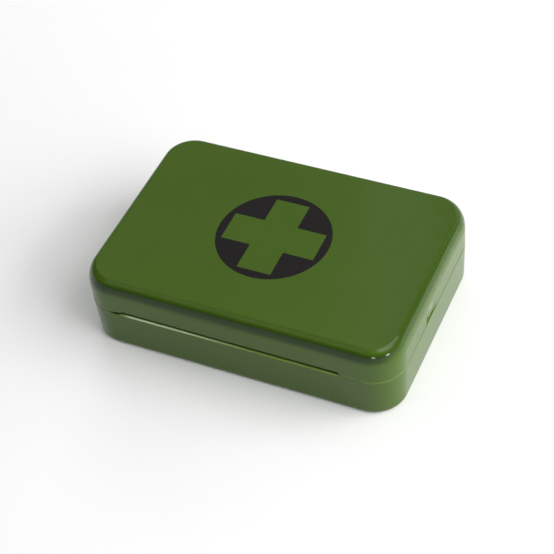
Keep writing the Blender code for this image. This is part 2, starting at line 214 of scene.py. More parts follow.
def ink_material():
    m = Mat("mark_black_ink", (0.0105, 0.0080, 0.0088), 0.24)
    m.p.inputs["Specular IOR Level"].default_value = 0.22
    tooth = m.noise(0.35, 3.0, 0.6)
    col = m.mix(m.remap(tooth, 0.30, 0.75, 0.0, 1.0), (0.0075, 0.0060, 0.0066), (0.0125, 0.0105, 0.0105))
    col = m.mix(m.remap(m.noise(0.8, 4.0, 0.7), 0.70, 0.80, 0.0, 0.35), col, (0.045, 0.075, 0.014))
    m.colour(col)
    m.rough(m.remap(m.noise(5.0, 3.0, 0.5), 0.3, 0.7, 0.20, 0.30))
    m.bump((m.noise(0.5, 2.0, 0.5), 0.006, 0.4))
    return m.m


INK = ink_material()


def steel_material(name, colour, rough, line_dir):
    m = Mat(name, colour, rough, metal=1.0)
    stretch = {'X': (1.0, 30.0, 30.0), 'Y': (30.0, 1.0, 30.0)}[line_dir]
    drawn = m.noise(9.0, 4.0, 0.7, m.mapped(stretch))
    m.rough(m.remap(drawn, 0.3, 0.7, rough * 0.75, rough * 1.5))
    m.colour(m.mix(m.remap(m.noise(3.0, 3.0), 0.3, 0.75, 0.0, 1.0), colour, tuple(c * 0.86 for c in colour)))
    m.bump((drawn, 0.01, 0.25))
    return m.m


PIN_STEEL = steel_material("hinge_pin_steel", (0.60, 0.60, 0.58), 0.30, 'X')


# ---------------------------------------------------------------- mesh helpers
def new_object(name, bm, mats, sharp=None, attrs=None):
    me = bpy.data.meshes.new(name)
    bm.to_mesh(me)
    bm.free()
    me.shade_smooth()
    if sharp is not None:
        me.set_sharp_from_angle(angle=radians(sharp))
    ob = bpy.data.objects.new(name, me)
    bpy.context.scene.collection.objects.link(ob)
    for mat in (mats if isinstance(mats, (list, tuple)) else [mats]):
        me.materials.append(mat)
    return ob


def float_layer(bm, name):
    return bm.verts.layers.float.new(name)


def skin(bm, a, b, closed=True):
    n = len(a)
    for i in range(n if closed else n - 1):
        j = (i + 1) % n
        bm.faces.new((a[i], a[j], b[j], b[i]))


def smoothstep(a, b, x):
    if a == b:
        return 0.0 if x < a else 1.0
    t = max(0.0, min(1.0, (x - a) / (b - a)))
    return t * t * (3 - 2 * t)


def spread(lo, hi, n):
    return [lo + (hi - lo) * i / (n - 1) for i in range(n)]


# perimeter columns: anticlockwise from the front left
FRONT_X = sorted(set([round(v, 3) for v in spread(-48.4, 48.4, 45)] + [-47.8, -47.2, -46.6, -46.2, -45.9, -45.6, -45.4,
                                                                      -45.0, -44.6, -44.2, 40.6, 40.9, 41.1, 41.25, 41.35, 41.45, 41.55, 41.65, 41.9]))
SIDE_Y = sorted(set([round(v, 3) for v in spread(-28.4, 28.4, 15)] + [round(v, 3) for v in spread(-12.0, 1.0, 27)]
                    + [-27.9, -27.4, -26.6, -22.0, -21.4, -20.6, -20.2, -19.8, -19.3]))
BACK_X = [round(v, 3) for v in spread(-48.4, 48.4, 31)]
NC = 20


def columns():
    cols = [('F', x) for x in FRONT_X]
    cols += [('C', 1, -1, -pi / 2 + (pi / 2) * i / NC) for i in range(NC + 1)]
    cols += [('R', y) for y in SIDE_Y]
    cols += [('C', 1, 1, (pi / 2) * i / NC) for i in range(NC + 1)]
    cols += [('B', x) for x in reversed(BACK_X)]
    cols += [('C', -1, 1, pi / 2 + (pi / 2) * i / NC) for i in range(NC + 1)]
    cols += [('L', y) for y in reversed(SIDE_Y)]
    cols += [('C', -1, -1, pi + (pi / 2) * i / NC) for i in range(NC + 1)]
    return cols


COLS = columns()


def at(col, inset):
    r = max(CORNER_R - CORNER_STEP * inset, 0.8)
    if col[0] == 'F':
        return col[1], -(HY - inset)
    if col[0] == 'B':
        return col[1], HY - inset
    if col[0] == 'R':
        return HX - inset, col[1]
    if col[0] == 'L':
        return -(HX - inset), col[1]
    _, sx, sy, a = col
    return sx * (HX - inset - r) + r * cos(a), sy * (HY - inset - r) + r * sin(a)


def is_front(col):
    return col[0] == 'F' or (col[0] == 'C' and col[2] == -1)


def bands(col):
    """Weights of the shoulder's two bands of painted shade: low on the front, high and weaker on the other sides."""
    nx, ny = {'F': (0.0, -1.0), 'R': (1.0, 0.0), 'B': (0.0, 1.0), 'L': (-1.0, 0.0)}.get(col[0], (0.0, 0.0))
    if col[0] == 'C':
        nx, ny = cos(col[3]), sin(col[3])
    low = smoothstep(0.25 if nx > 0 else 0.55, 0.97, -ny)
    return low, (1.0 - low) * (0.35 + 0.65 * smoothstep(0.0, 1.0, nx))


# ---------------------------------------------------------------- lid shell
RELIEF_H = 1.6
RELIEF_L0, RELIEF_R = -50.4, 41.5
SCOOP_Y, SCOOP_L, SCOOP_HT, SCOOP_D = -5.5, 5.9, 6.4, 0.40


def relief(col, x):
    """How far the lid's lower edge stands up above the seam."""
    if not is_front(col):
        return 0.0
    left = 0.45 * smoothstep(RELIEF_L0, -46.0, x) + 0.55 * smoothstep(-45.75, -45.15, x)
    right = 1.0 - smoothstep(RELIEF_R - 0.25, RELIEF_R + 0.25, x)
    sag = 0.10 * smoothstep(-40.0, 5.0, x)
    return (RELIEF_H - sag) * left * right


def tight(col, x, y):
    """1 where the seam is nearly closed: from the relief's right end round to the right side."""
    if col[0] == 'F':
        return smoothstep(42.0, 44.5, x)
    if col[0] == 'R':
        return (1.0 - 0.35 * smoothstep(-28.4, -18.0, y)) * (1.0 - smoothstep(8.0, 26.0, y))
    return 1.0 if col[0] == 'C' and (col[1], col[2]) == (1, -1) else 0.0


def side_notch(col, y):
    if col[0] not in ('R', 'L'):
        return 0.0
    return 0.20 * smoothstep(-10.2, -8.6, y) * (1.0 - smoothstep(-2.2, -0.6, y))


def scoop(col, y, z):
    if col[0] not in ('R', 'L'):
        return 0.0
    u, v = (y - SCOOP_Y) / SCOOP_L, (z - SKIRT_Z) / SCOOP_HT
    q = 1.0 - u * u - v * v
    return SCOOP_D * smoothstep(0.0, 1.0, q) if q > 0 else 0.0


LEAN, RIM_A, WALL_TOP = 0.0, 3.90, 25.3
RIM_END = 0.16


def lid_outer_profile(power=2.0):
    """Skirt, wall and rounded shoulder up to the faint groove and the panel's edge."""
    out = [(0.26, SKIRT_Z), (0.10, SKIRT_Z + 0.05), (0.0, SKIRT_Z + 0.22)]
    for z in (18.6, 19.1, 19.7, 20.3, 21.0, 21.8, 22.6, 23.4, 24.4):
        out.append((LEAN * ((z - SKIRT_Z) / (WALL_TOP - SKIRT_Z)) ** 1.6, z))
    half = 0.5 ** (1 / power)
    full = (1 - RIM_END ** power) ** (1 / power)
    arc = [((1 - v ** power) ** (1 / power), v) for v in spread(0.0, half, 15)]
    arc += [(u, (1 - u ** power) ** (1 / power)) for u in spread(half, RIM_END, 27)[1:]]
    for u, v in arc:
        inset = LEAN + RIM_A * (1 - u)
        groove = 0.030 * exp(-((inset - 2.15) / 0.26) ** 2)
        out.append((inset, WALL_TOP + (HEIGHT - WALL_TOP) * v / full - groove))
    return out


def build_lid():
    bm = bmesh.new()
    painted_highlight, painted_edge_light, shade = float_layer(bm, "painted_highlight"), float_layer(bm, "painted_edge_light"), float_layer(bm, "shade")
    # skirt inner side and roof, from the bottom edge inwards and up
    blend_top = 21.8

    def z_of(col, x, y, z):
        lift = relief(col, x) + side_notch(col, y) - 0.17 * tight(col, x, y)
        if lift == 0 or z >= blend_top:
            return z
        return SKIRT_Z + lift + (z - SKIRT_Z) * (blend_top - SKIRT_Z - lift) / (blend_top - SKIRT_Z)

    outer = lid_outer_profile()
    inner = [(0.52, SKIRT_Z), (0.72, SKIRT_Z + 0.06), (0.80, SKIRT_Z + 0.25), (0.80, 20.0), (0.86, 20.14), (0.98, 20.2),
             (1.90, 20.2), (2.00, 20.26), (2.04, 20.4), (2.10, 22.0), (2.18, 24.0)]
    for i in range(0, 9):
        t = (pi / 2) * i / 8
        inner.append((2.25 + 3.4 * (1 - cos(t)), 25.4 + (HEIGHT - 1.9 - 25.4) * sin(t)))
    rings = []
    for idx, (inset, z) in enumerate(list(reversed(outer)) + inner):
        ring = []
        outside = idx < len(outer)
        for col in COLS:
            x, y = at(col, inset)
            zz = z_of(col, x, y, z)
            if outside:
                d = scoop(col, y, zz)
                if d:
                    x -= d if x > 0 else -d
            v = bm.verts.new((x * MM, y * MM, zz * MM))
            low = 1.0 - smoothstep(0.0, 0.35, zz - (SKIRT_Z + relief(col, x) + side_notch(col, y)))
            # painted edge light along the lid's lower edge where the seam is nearly closed
            v[painted_edge_light] = (0.0 if col[0] == 'R' else 0.3) * low * tight(col, x, y)
            if outside:                             # painted shade: darker band round the shoulder
                low_band = max(0.14, 0.88 * smoothstep(26.2, 28.9, zz)) * (1.0 - smoothstep(29.9, 31.9, zz))
                high_band = 0.50 * smoothstep(28.4, 30.0, zz) * (1.0 - smoothstep(32.55, 32.95, zz))
                f, g = bands(col)
                v[shade] = f * low_band + g * high_band
            ring.append(v)
        rings.append(ring)
    for a, b in zip(rings, rings[1:]):
        skin(bm, a, b)
    bm.faces.new(list(reversed(rings[0])))
    bm.faces.new(rings[-1])
    bmesh.ops.recalc_face_normals(bm, faces=bm.faces)
    # crease round the flat panel
    top = set(rings[0])
    for v in rings[0]:
        for e in v.link_edges:
            if e.other_vert(v) in top:
                e.smooth = False
    return new_object("lid_shell_moulded", bm, LID_PLASTIC)


def ejector_marks(bm, z, spots, up, r=2.6, h=0.09):
    """Shallow round witness marks that a mould's ejector pins leave, standing on a flat face."""
    for cx, cy in spots:
        n = 48
        rings = []
        for rr, dz in ((r, -0.10), (r, h - 0.03), (r - 0.03, h), (r - 0.35, h), (r - 0.42, h - 0.04), (0.25, h - 0.04)):
            rings.append([bm.verts.new(((cx + rr * cos(2 * pi * k / n)) * MM, (cy + rr * sin(2 * pi * k / n)) * MM,
                                        (z + up * dz) * MM)) for k in range(n)])
        for a, b in zip(rings, rings[1:]):
            skin(bm, a, b)
        bm.faces.new(rings[-1])
        bm.faces.new(list(reversed(rings[0])))


lid = build_lid()
bm = bmesh.new()
ejector_marks(bm, HEIGHT - 1.9, [(-44, -27), (-44, 27), (44, -27), (44, 27), (0, -29), (0, 29)], -1)
bmesh.ops.recalc_face_normals(bm, faces=bm.faces)
marks = new_object("lid_ejector_marks", bm, LID_PLASTIC, sharp=35)
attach(marks, "lid")
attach(lid, "lid")
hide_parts("lid_shell")


# ---------------------------------------------------------------- base shell
def rim_drop(col, x):
    """The short low place in the tray's edge at the left end of the opening."""
    if not is_front(col):
        return 0.0
    return 0.14 * smoothstep(-50.2, -48.2, x) * (1.0 - smoothstep(-46.1, -45.6, x))


def build_base():
    bm = bmesh.new()
    painted_highlight, painted_edge_light, shade = float_layer(bm, "painted_highlight"), float_layer(bm, "painted_edge_light"), float_layer(bm, "shade")
    foot = 2.0
    outer = []
    for i in range(0, 9):
        t = (pi / 2) * i / 8
        outer.append((0.42 + foot * (1 - sin(t)), foot * (1 - cos(t))))
    for z in (3.0, 5.0, 7.5, 10.0, 12.5, 15.0, 16.6, 17.2):
        outer.append((0.42 * (1 - (z - foot) / (SEAM_Z - foot)) ** 1.1, z))
    outer += [(0.0, SEAM_Z - 0.25), (0.05, SEAM_Z - 0.10), (0.16, SEAM_Z - 0.02), (0.30, SEAM_Z)]
    n_wall = len(outer)
    inner = [(0.62, SEAM_Z), (0.92, SEAM_Z), (1.06, SEAM_Z + 0.04), (1.10, SEAM_Z + 0.20), (1.10, 18.1), (1.10, 18.4),
             (1.10, 18.6), (1.10, 18.75), (1.10, 18.9), (1.10, 19.1), (1.10, 19.4), (1.10, LIP_TOP - 0.30), (1.16, LIP_TOP - 0.12),
             (1.32, LIP_TOP), (1.78, LIP_TOP), (1.94, LIP_TOP - 0.12), (2.00, LIP_TOP - 0.30), (2.10, 15.0), (2.22, 9.0),
             (2.30, 3.8)]
    for i in range(1, 7):
        t = (pi / 2) * i / 6
        inner.append((2.30 + 1.7 * (1 - cos(t)), 3.7 - 1.7 * sin(t)))
    rings = []
    for idx, (inset, z) in enumerate(outer + inner):
        ring = []
        for col in COLS:
            x, y = at(col, inset)
            zz = z
            drop = rim_drop(col, x)
            if idx < n_wall + 3 and z > 15.0:
                zz = z - drop * smoothstep(15.0, SEAM_Z, z)
            # the bead that the lid's skirt snaps over, at each short side
            if col[0] in ('R', 'L') and inset == 1.10:
                swell = (1 - smoothstep(3.6, 4.8, abs(y + 24.0))) * (1 - smoothstep(0.0, 0.75, abs(z - 18.75)))
                x += 0.2 * swell * (1 if x > 0 else -1)
            v = bm.verts.new((x * MM, y * MM, zz * MM))
            # the ledge's outer edge: painted edge light all round, and a painted highlight on the front strip
            on_ledge = (n_wall - 3) <= idx <= n_wall
            if on_ledge:
                if is_front(col) and -46.4 < x < 41.6:
                    v[painted_highlight] = 0.92 * smoothstep(-45.0, -43.0, x) * (1.0 - smoothstep(-34.0, 12.0, x))
                    v[painted_edge_light] = 1.0
                elif col[0] in ('R', 'L') and -9.8 < y < -0.8:
                    v[painted_edge_light] = 0.22
                elif is_front(col) and x < -46.4:
                    v[painted_edge_light] = 0.55 * (1.0 - smoothstep(-51.5, -49.0, x))
                else:
                    v[painted_edge_light] = 0.12 if col[0] == 'R' else 0.4
            # painted shade: the outside of the front wall slightly darker
            if idx < n_wall - 3:
                v[shade] = 0.17 * bands(col)[0]
            # painted shade in the step behind the ledge
            if n_wall + 1 <= idx <= n_wall + 7 and is_front(col) and -50.6 < x < 41.6:
                v[shade] = 0.60
            # painted shade: the ledge at the left end of the opening near black, as a dark gap
            if (n_wall - 1) <= idx <= n_wall and is_front(col) and -50.4 < x < -46.6:
                v[shade] = 0.95
            ring.append(v)
        rings.append(ring)
    for a, b in zip(rings, rings[1:]):
        skin(bm, a, b)
    bm.faces.new(list(reversed(rings[0])))
    bm.faces.new(rings[-1])
    bmesh.ops.recalc_face_normals(bm, faces=bm.faces)
    return new_object("base_shell_moulded", bm, BASE_PLASTIC)


base = build_base()
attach(base, "base")
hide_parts("base_shell")


# ---------------------------------------------------------------- the printed mark
def build_mark():
    bm = bmesh.new()
    z = (HEIGHT + 0.012) * MM
    r, hl, hw = 21.9, 18.6, 6.75
    n = 160
    ring = [bm.verts.new(((MARK[0] + r * cos(2 * pi * k / n)) * MM, (MARK[1] + r * sin(2 * pi * k / n)) * MM, z))
            for k in range(n)]
    pts = [(hl, -hw), (hl, hw), (hw, hw), (hw, hl), (-hw, hl), (-hw, hw), (-hl, hw), (-hl, -hw), (-hw, -hw), (-hw, -hl),
           (hw, -hl), (hw, -hw)]
    cross = [bm.verts.new(((MARK[0] + x) * MM, (MARK[1] + y) * MM, z)) for x, y in pts]
    edges = [bm.edges.new((c[i], c[(i + 1) % len(c)])) for c in (ring, cross) for i in range(len(c))]
    bmesh.ops.triangle_fill(bm, edges=edges, use_beauty=True)
    geom = bmesh.ops.extrude_face_region(bm, geom=list(bm.faces))
    up = [g for g in geom["geom"] if isinstance(g, bmesh.types.BMVert)]
    bmesh.ops.translate(bm, verts=up, vec=(0, 0, 0.03 * MM))
    bmesh.ops.recalc_face_normals(bm, faces=bm.faces)
    return new_object("lid_mark_printed", bm, INK, sharp=30)


mark = build_mark()
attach(mark, "lid")
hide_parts("lid_emblem")


# ---------------------------------------------------------------- hinge: knuckles and pins
def knuckle_outline(z_low, z_high, y_wall, n=26):
    out = []
    for yw, zw, side in ((y_wall, z_low, -1), (y_wall, z_high, 1)):
        dy, dz = AXIS_Y - yw, AXIS_Z - zw
        dist = hypot(dy, dz)
        heading = atan2(dz, dy) + side * asin(BARREL_R / dist)
        run = sqrt(dist ** 2 - BARREL_R ** 2)
        out.append(((yw, zw), (yw + run * cos(heading), zw + run * sin(heading))))
    (w0, t0), (w1, t1) = out
    a0 = atan2(t0[1] - AXIS_Z, t0[0] - AXIS_Y)
    a1 = atan2(t1[1] - AXIS_Z, t1[0] - AXIS_Y)
    while a1 < a0:
        a1 += 2 * pi
    arc = [(AXIS_Y + BARREL_R * cos(a0 + (a1 - a0) * k / n), AXIS_Z + BARREL_R * sin(a0 + (a1 - a0) * k / n))
           for k in range(n + 1)]
    return [w0] + arc + [w1]


def build_knuckle(name, outline, x0, x1, mat):
    """Extruded knuckle with softened ends and a drilled eye."""
    bm = bmesh.new()
    soft = 0.18
    cy = sum(p[0] for p in outline) / len(outline)
    cz = sum(p[1] for p in outline) / len(outline)
    stations = ((x0, soft), (x0 + soft * 0.3, soft * 0.3), (x0 + soft, 0.0), (x1 - soft, 0.0),
                (x1 - soft * 0.3, soft * 0.3), (x1, soft))
    rings = []
    for x, back in stations:
        ring = []
        for y, z in outline:
            d = hypot(y - cy, z - cz)
            k = (d - back) / d
            ring.append(bm.verts.new((x * MM, (cy + (y - cy) * k) * MM, (cz + (z - cz) * k) * MM)))
        rings.append(ring)
    for a, b in zip(rings, rings[1:]):
        skin(bm, a, b)
    bm.faces.new(list(reversed(rings[0])))
    bm.faces.new(rings[-1])
    bmesh.ops.recalc_face_normals(bm, faces=bm.faces)
    ob = new_object(name, bm, mat)
    cut = bmesh.new()
    bmesh.ops.create_cone(cut, cap_ends=True, segments=40, radius1=BORE_R * MM, radius2=BORE_R * MM,
                          depth=(x1 - x0 + 4) * MM, matrix=Matrix.Translation(((x0 + x1) / 2 * MM, AXIS_Y * MM, AXIS_Z * MM))
                          @ Matrix.Rotation(pi / 2, 4, 'Y'))
    cutter = new_object(name + "_eye", cut, mat)
    mod = ob.modifiers.new("eye", 'BOOLEAN')
    mod.object = cutter
    mod.solver = 'EXACT'
    apply_modifiers(ob)
    bpy.data.objects.remove(cutter, do_unlink=True)
    ob.data.shade_smooth()
    ob.data.set_sharp_from_angle(angle=radians(40))
    return ob


def apply_modifiers(ob):
    dg = bpy.context.evaluated_depsgraph_get()
    me = bpy.data.meshes.new_from_object(ob.evaluated_get(dg))
    old = ob.data
    ob.modifiers.clear()
    ob.data = me
    if old.users == 0:
        bpy.data.meshes.remove(old)


def join(name, obs):
    """Joins meshes into the first object, keeping the materials."""
    bpy.ops.object.select_all(action='DESELECT')
    for o in obs:
        o.select_set(True)
    bpy.context.view_layer.objects.active = obs[0]
    bpy.ops.object.join()
    obs[0].name = name
    return obs[0]


for side, tag in ((-1, "left"), (1, "right")):
    cx = side * HINGE_X
    parts = [build_knuckle("bk", knuckle_outline(12.0, 15.5, HY - 0.9), cx + lo, cx + hi, BASE_PLASTIC)
             for lo, hi in ((-9.0, -4.3), (4.3, 9.0))]
    kn = join("base_knuckles_" + tag, parts)
    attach(kn, "base")
    kn = build_knuckle("lid_knuckle_" + tag, knuckle_outline(2 * AXIS_Z - 15.5, 2 * AXIS_Z - 12.0, HY - 1.1),
                       cx - 4.0, cx + 4.0, LID_PLASTIC)
    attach(kn, "lid")
    # drawn pin with rolled ends
    bm = bmesh.new()
    half = 8.7
    rings = []
    for x, r in ((-half, 0.40), (-half + 0.08, 0.56), (-half + 0.25, PIN_R), (-half + 2.0, PIN_R), (0, PIN_R),
                 (half - 2.0, PIN_R), (half - 0.25, PIN_R), (half - 0.08, 0.56), (half, 0.40)):
        rings.append([bm.verts.new(((cx + x) * MM, (AXIS_Y + r * cos(2 * pi * k / 36)) * MM,
                                    (AXIS_Z + r * sin(2 * pi * k / 36)) * MM)) for k in range(36)])
    for a, b in zip(rings, rings[1:]):
        skin(bm, a, b)
    bm.faces.new(list(reversed(rings[0])))
    bm.faces.new(rings[-1])
    bmesh.ops.recalc_face_normals(bm, faces=bm.faces)
    pin = new_object("hinge_pin_drawn_" + tag, bm, PIN_STEEL, sharp=45)
    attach(pin, "base")
    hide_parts("hinge_pin_" + tag)

# ---------------------------------------------------------------- contents: helpers
def node_mid(name):
    lo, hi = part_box(name)
    return (Vector(lo) + Vector(hi)) / 2 / MM, (Vector(hi) - Vector(lo)) / MM


def place(ob, x, y, z, turn=0.0):
    ob.location = (x * MM, y * MM, z * MM)
    ob.rotation_euler = (0, 0, radians(turn))
    return ob


def keep(ob, node):
    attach(ob, "base")
    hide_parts(node)
    return ob


def wob(x, y, z, scale, seed=0.0):
    """Smooth noise from -1 to 1; scale in mm."""
    return noise.noise(Vector((x / scale + seed * 7.31, y / scale - seed * 3.17, z / scale + seed * 1.93)))


def pillow(name, size, mat, seal=3.5, ramp=5.0, edge=0.3, puff=1.0, crimp=0.0, wrinkle=0.15, seed=1.0, res=0.8, under=0.8,
           shape=None, power=0.75, corner=1.0, crimp_all=False):
    """A filled pouch in its own frame: two faces sealed together round a flat margin."""
    lx, ly, t = size
    nx, ny = int(lx / res), int(ly / res)
    bm = bmesh.new()
    rim_l = float_layer(bm, "seal")
    rows = {}
    for side in (1, -1):
        grid = []
        for j in range(ny + 1):
            row = []
            for i in range(nx + 1):
                if side < 0 and (i in (0, nx) or j in (0, ny)):
                    row.append(rows[1][j][i])
                    continue
                x, y = lx * (i / nx - 0.5), ly * (j / ny - 0.5)
                dx, dy = lx / 2 - abs(x), ly / 2 - abs(y)
                # corners slightly rounded
                if dx < corner and dy < corner:
                    q = hypot(corner - dx, corner - dy)
                    if q > corner:
                        k = corner / q
                        nxp = (lx / 2 - corner) + (corner - dx) * k
                        nyp = (ly / 2 - corner) + (corner - dy) * k
                        x, y = (nxp if x > 0 else -nxp), (nyp if y > 0 else -nyp)
                        dx, dy = lx / 2 - abs(x), ly / 2 - abs(y)
                d = min(dx, dy)
                # distance from the seal line, rounded in the corners
                ex, ey = max(dx - seal, 0.0), max(dy - seal, 0.0)
                s = min(1.0, ex / ramp) * (2 - min(1.0, ex / ramp))
                s2 = min(1.0, ey / ramp) * (2 - min(1.0, ey / ramp))
                s = max(0.0, s * s2) ** power
                if shape is not None:
                    s *= shape(x, y)
                half = edge / 2 + (t / 2 - edge / 2) * s * puff
                w = wrinkle * (wob(x, y, side * 3.0, 6.5, seed) * 0.7 + wob(x * 2.2, y, side, 5.0, seed + 2) * 0.5)
                crease = wrinkle * 1.2 * (0.5 - abs(wob(x, y, side * 2.0, 11.0, seed + 5))) * s
                z = side * half + (w * (0.35 + 0.65 * s) + crease - 0.35 * wrinkle) * (1 if side > 0 else 0.4 * under)
                if crimp and d < seal * 0.92 and (dx < dy or crimp_all):
                    z += crimp * sin((y if dx < dy else x) * 2 * pi / 1.1) * 0.5
                if d <= 1e-6:
                    z = 0.12 * wrinkle * wob(x, y, 0, 4.0, seed) + (crimp * 0.5 * sin(y * 2 * pi / 1.1) if crimp else 0.0)
                z = max(-t / 2, min(t / 2, z))
                v = bm.verts.new((x * MM, y * MM, z * MM))
                v[rim_l] = 1.0 - smoothstep(seal * 0.85, seal * 1.25, d)
                row.append(v)
            grid.append(row)
        rows[side] = grid
    for side in (1, -1):
        g = rows[side]
        for j in range(ny):
            for i in range(nx):
                quad = (g[j][i], g[j][i + 1], g[j + 1][i + 1], g[j + 1][i])
                if len(set(quad)) == 4:
                    bm.faces.new(quad if side > 0 else tuple(reversed(quad)))
    bmesh.ops.recalc_face_normals(bm, faces=bm.faces)
    return new_object(name, bm, mat)


def stripe(m, coord_out, lo, hi, soft=0.05):
    """1 between lo and hi millimetres along a coordinate given in metres."""
    a = m.remap(coord_out, (lo - soft) * MM, lo * MM, 0.0, 1.0)
    b = m.remap(coord_out, hi * MM, (hi + soft) * MM, 1.0, 0.0)
    return m.math('MULTIPLY', a, b)


def cross_mask(m, x, y, cx, cy, half, arm):
    """A plus sign: 1 inside."""
    bars = [m.math('MULTIPLY', stripe(m, x, cx - hx, cx + hx), stripe(m, y, cy - hy, cy + hy))
            for hx, hy in ((half, arm), (arm, half))]
    return m.math('MAXIMUM', *bars)


def xyz(m, source=None):
    n = m.node("ShaderNodeSeparateXYZ")
    m.link(source or m.coord.outputs["Object"], n.inputs[0])
    return n.outputs[0], n.outputs[1], n.outputs[2]


# ---------------------------------------------------------------- contents: materials
def gauze_material():
    m = Mat("cotton_gauze", (0.80, 0.785, 0.73), 0.95, sheen=0.35)
    cloth = m.attribute("cloth", "Vector")
    warp = m.wave(0.62, cloth, 'X', 0.6)
    weft = m.wave(0.62, cloth, 'Y', 0.6)
    thread = m.math('MAXIMUM', warp, weft)
    open_ = m.math('MULTIPLY', m.math('SUBTRACT', 1.0, warp), m.math('SUBTRACT', 1.0, weft))
    col = m.mix(m.remap(open_, 0.25, 0.9, 0.0, 0.75), (0.82, 0.80, 0.745), (0.50, 0.485, 0.43))
    col = m.mix(m.remap(m.noise(6.0, 4.0, 0.6), 0.35, 0.75, 0.0, 0.35), col, (0.74, 0.71, 0.64))
    m.colour(col)
    m.rough(m.remap(m.noise(0.3, 2.0), 0.3, 0.7, 0.88, 0.98))
    m.bump((thread, 0.16, 0.7), (m.noise(0.25, 3.0, 0.7, m.mapped((1, 1, 1))), 0.05, 0.5))
    return m.m


def band_material():
    m = Mat("roll_paper_band", (0.80, 0.80, 0.77), 0.7)
    cloth = m.attribute("cloth", "Vector")
    u, v, _ = xyz(m, cloth)
    col = m.mix(m.remap(m.noise(0.6, 4.0, 0.7), 0.3, 0.7, 0.0, 1.0), (0.79, 0.79, 0.76), (0.84, 0.84, 0.81))
    edge = m.math('MAXIMUM', stripe(m, v, 9.2, 10.6), stripe(m, v, -10.6, -9.2))
    col = m.mix(edge, col, (0.055, 0.125, 0.045))
    col = m.mix(cross_mask(m, u, v, 0.0, 0.0, 4.6, 1.6), col, (0.055, 0.125, 0.045))
    m.colour(col)
    m.rough(m.remap(m.noise(2.0, 3.0), 0.3, 0.7, 0.6, 0.8))
    m.bump((m.noise(0.35, 3.0, 0.7), 0.02, 0.4))
    return m.m


def cotton_material():
    m = Mat("folded_calico", (0.74, 0.70, 0.60), 0.92, sheen=0.3)
    warp = m.wave(0.36, None, 'X', 1.2)
    weft = m.wave(0.36, None, 'Y', 1.2)
    col = m.mix(m.math('MULTIPLY', m.math('SUBTRACT', 1.0, warp), m.math('SUBTRACT', 1.0, weft)),
                (0.74, 0.705, 0.61), (0.58, 0.54, 0.45))
    col = m.mix(m.remap(m.noise(9.0, 4.0), 0.35, 0.7, 0.0, 0.4), col, (0.68, 0.64, 0.55))
    m.colour(col)
    m.rough(m.remap(m.noise(0.4, 2.0), 0.3, 0.7, 0.85, 0.97))
    m.bump((m.math('MAXIMUM', warp, weft), 0.06, 0.5), (m.noise(0.3, 3.0, 0.7), 0.03, 0.4))
    return m.m


def paper_pouch_material():
    m = Mat("medical_paper", (0.80, 0.80, 0.78), 0.62)
    x, y, z = xyz(m)
    fibre = m.noise(0.5, 5.0, 0.75)
    col = m.mix(m.remap(fibre, 0.3, 0.7, 0.0, 1.0), (0.77, 0.775, 0.76), (0.84, 0.84, 0.82))
    col = m.mix(m.math('MULTIPLY', m.attribute("seal"), 0.22), col, (0.62, 0.68, 0.74))
    col = m.mix(stripe(m, y, 26.0, 29.0), col, (0.08, 0.22, 0.42))
    col = m.mix(cross_mask(m, x, y, 0.0, 0.0, 7.0, 2.4), col, (0.08, 0.22, 0.42))
    m.colour(col)
    m.rough(m.remap(m.noise(3.0, 3.0), 0.3, 0.7, 0.5, 0.72))
    m.bump((m.noise(2.2, 5.0, 0.65), 0.12, 0.5), (fibre, 0.02, 0.4))
    return m.m


def glove_bag_material():
    m = Mat("glove_bag_film", (0.22, 0.42, 0.66), 0.18, coat=0.6, coat_rough=0.06)
    x, y, z = xyz(m)
    folds = m.noise(9.0, 4.0, 0.6, m.mapped((1.0, 0.45, 1.0)), distort=1.2)
    fine = m.noise(2.0, 4.0, 0.65, m.mapped((1.0, 0.5, 1.0)), distort=0.8)
    col = m.mix(m.remap(folds, 0.32, 0.68, 0.0, 1.0), (0.115, 0.275, 0.52), (0.30, 0.52, 0.76))
    col = m.mix(m.remap(fine, 0.60, 0.72, 0.0, 0.45), col, (0.62, 0.74, 0.86))
    col = m.mix(m.math('MULTIPLY', m.attribute("seal"), 0.8), col, (0.62, 0.68, 0.73))
    m.colour(col)
    m.rough(m.remap(fine, 0.3, 0.7, 0.12, 0.34))
    m.bump((folds, 0.7, 0.5), (fine, 0.25, 0.6))
    return m.m


def sachet_material():
    m = Mat("wipe_sachet_foil_paper", (0.80, 0.82, 0.84), 0.34, coat=0.2, coat_rough=0.2)
    x, y, z = xyz(m)
    crinkle = m.noise(3.5, 5.0, 0.65)
    knurl = m.math('MAXIMUM', m.wave(0.9, m.mapped((1, 1, 1), None, (0, 0, 0.785)), 'X'),
                   m.wave(0.9, m.mapped((1, 1, 1), None, (0, 0, 0.785)), 'Y'))
    col = m.mix(m.remap(crinkle, 0.3, 0.7, 0.0, 1.0), (0.78, 0.80, 0.82), (0.86, 0.87, 0.88))
    col = m.mix(m.math('MAXIMUM', stripe(m, y, 8.2, 11.4), stripe(m, y, -11.4, -10.2)), col, (0.035, 0.19, 0.45))
    col = m.mix(cross_mask(m, x, y, -14.0, -1.0, 4.2, 1.5), col, (0.035, 0.19, 0.45))
    dot = m.node("ShaderNodeVectorMath", operation='DISTANCE')
    m.link(m.mapped((1, 1, 0)), dot.inputs[0])
    dot.inputs[1].default_value = (6.0 * MM, -1.0 * MM, 0)
    ring = m.math('MULTIPLY', m.remap(dot.outputs["Value"], 3.9 * MM, 4.0 * MM, 1.0, 0.0),
                  m.remap(dot.outputs["Value"], 2.9 * MM, 3.0 * MM, 0.0, 1.0))
    col = m.mix(ring, col, (0.10, 0.42, 0.62))
    m.colour(col)
    m.rough(m.remap(crinkle, 0.3, 0.7, 0.26, 0.44))
    m.bump((crinkle, 0.25, 0.5), (m.math('MULTIPLY', knurl, m.attribute("seal")), 0.12, 0.8))
    return m.m


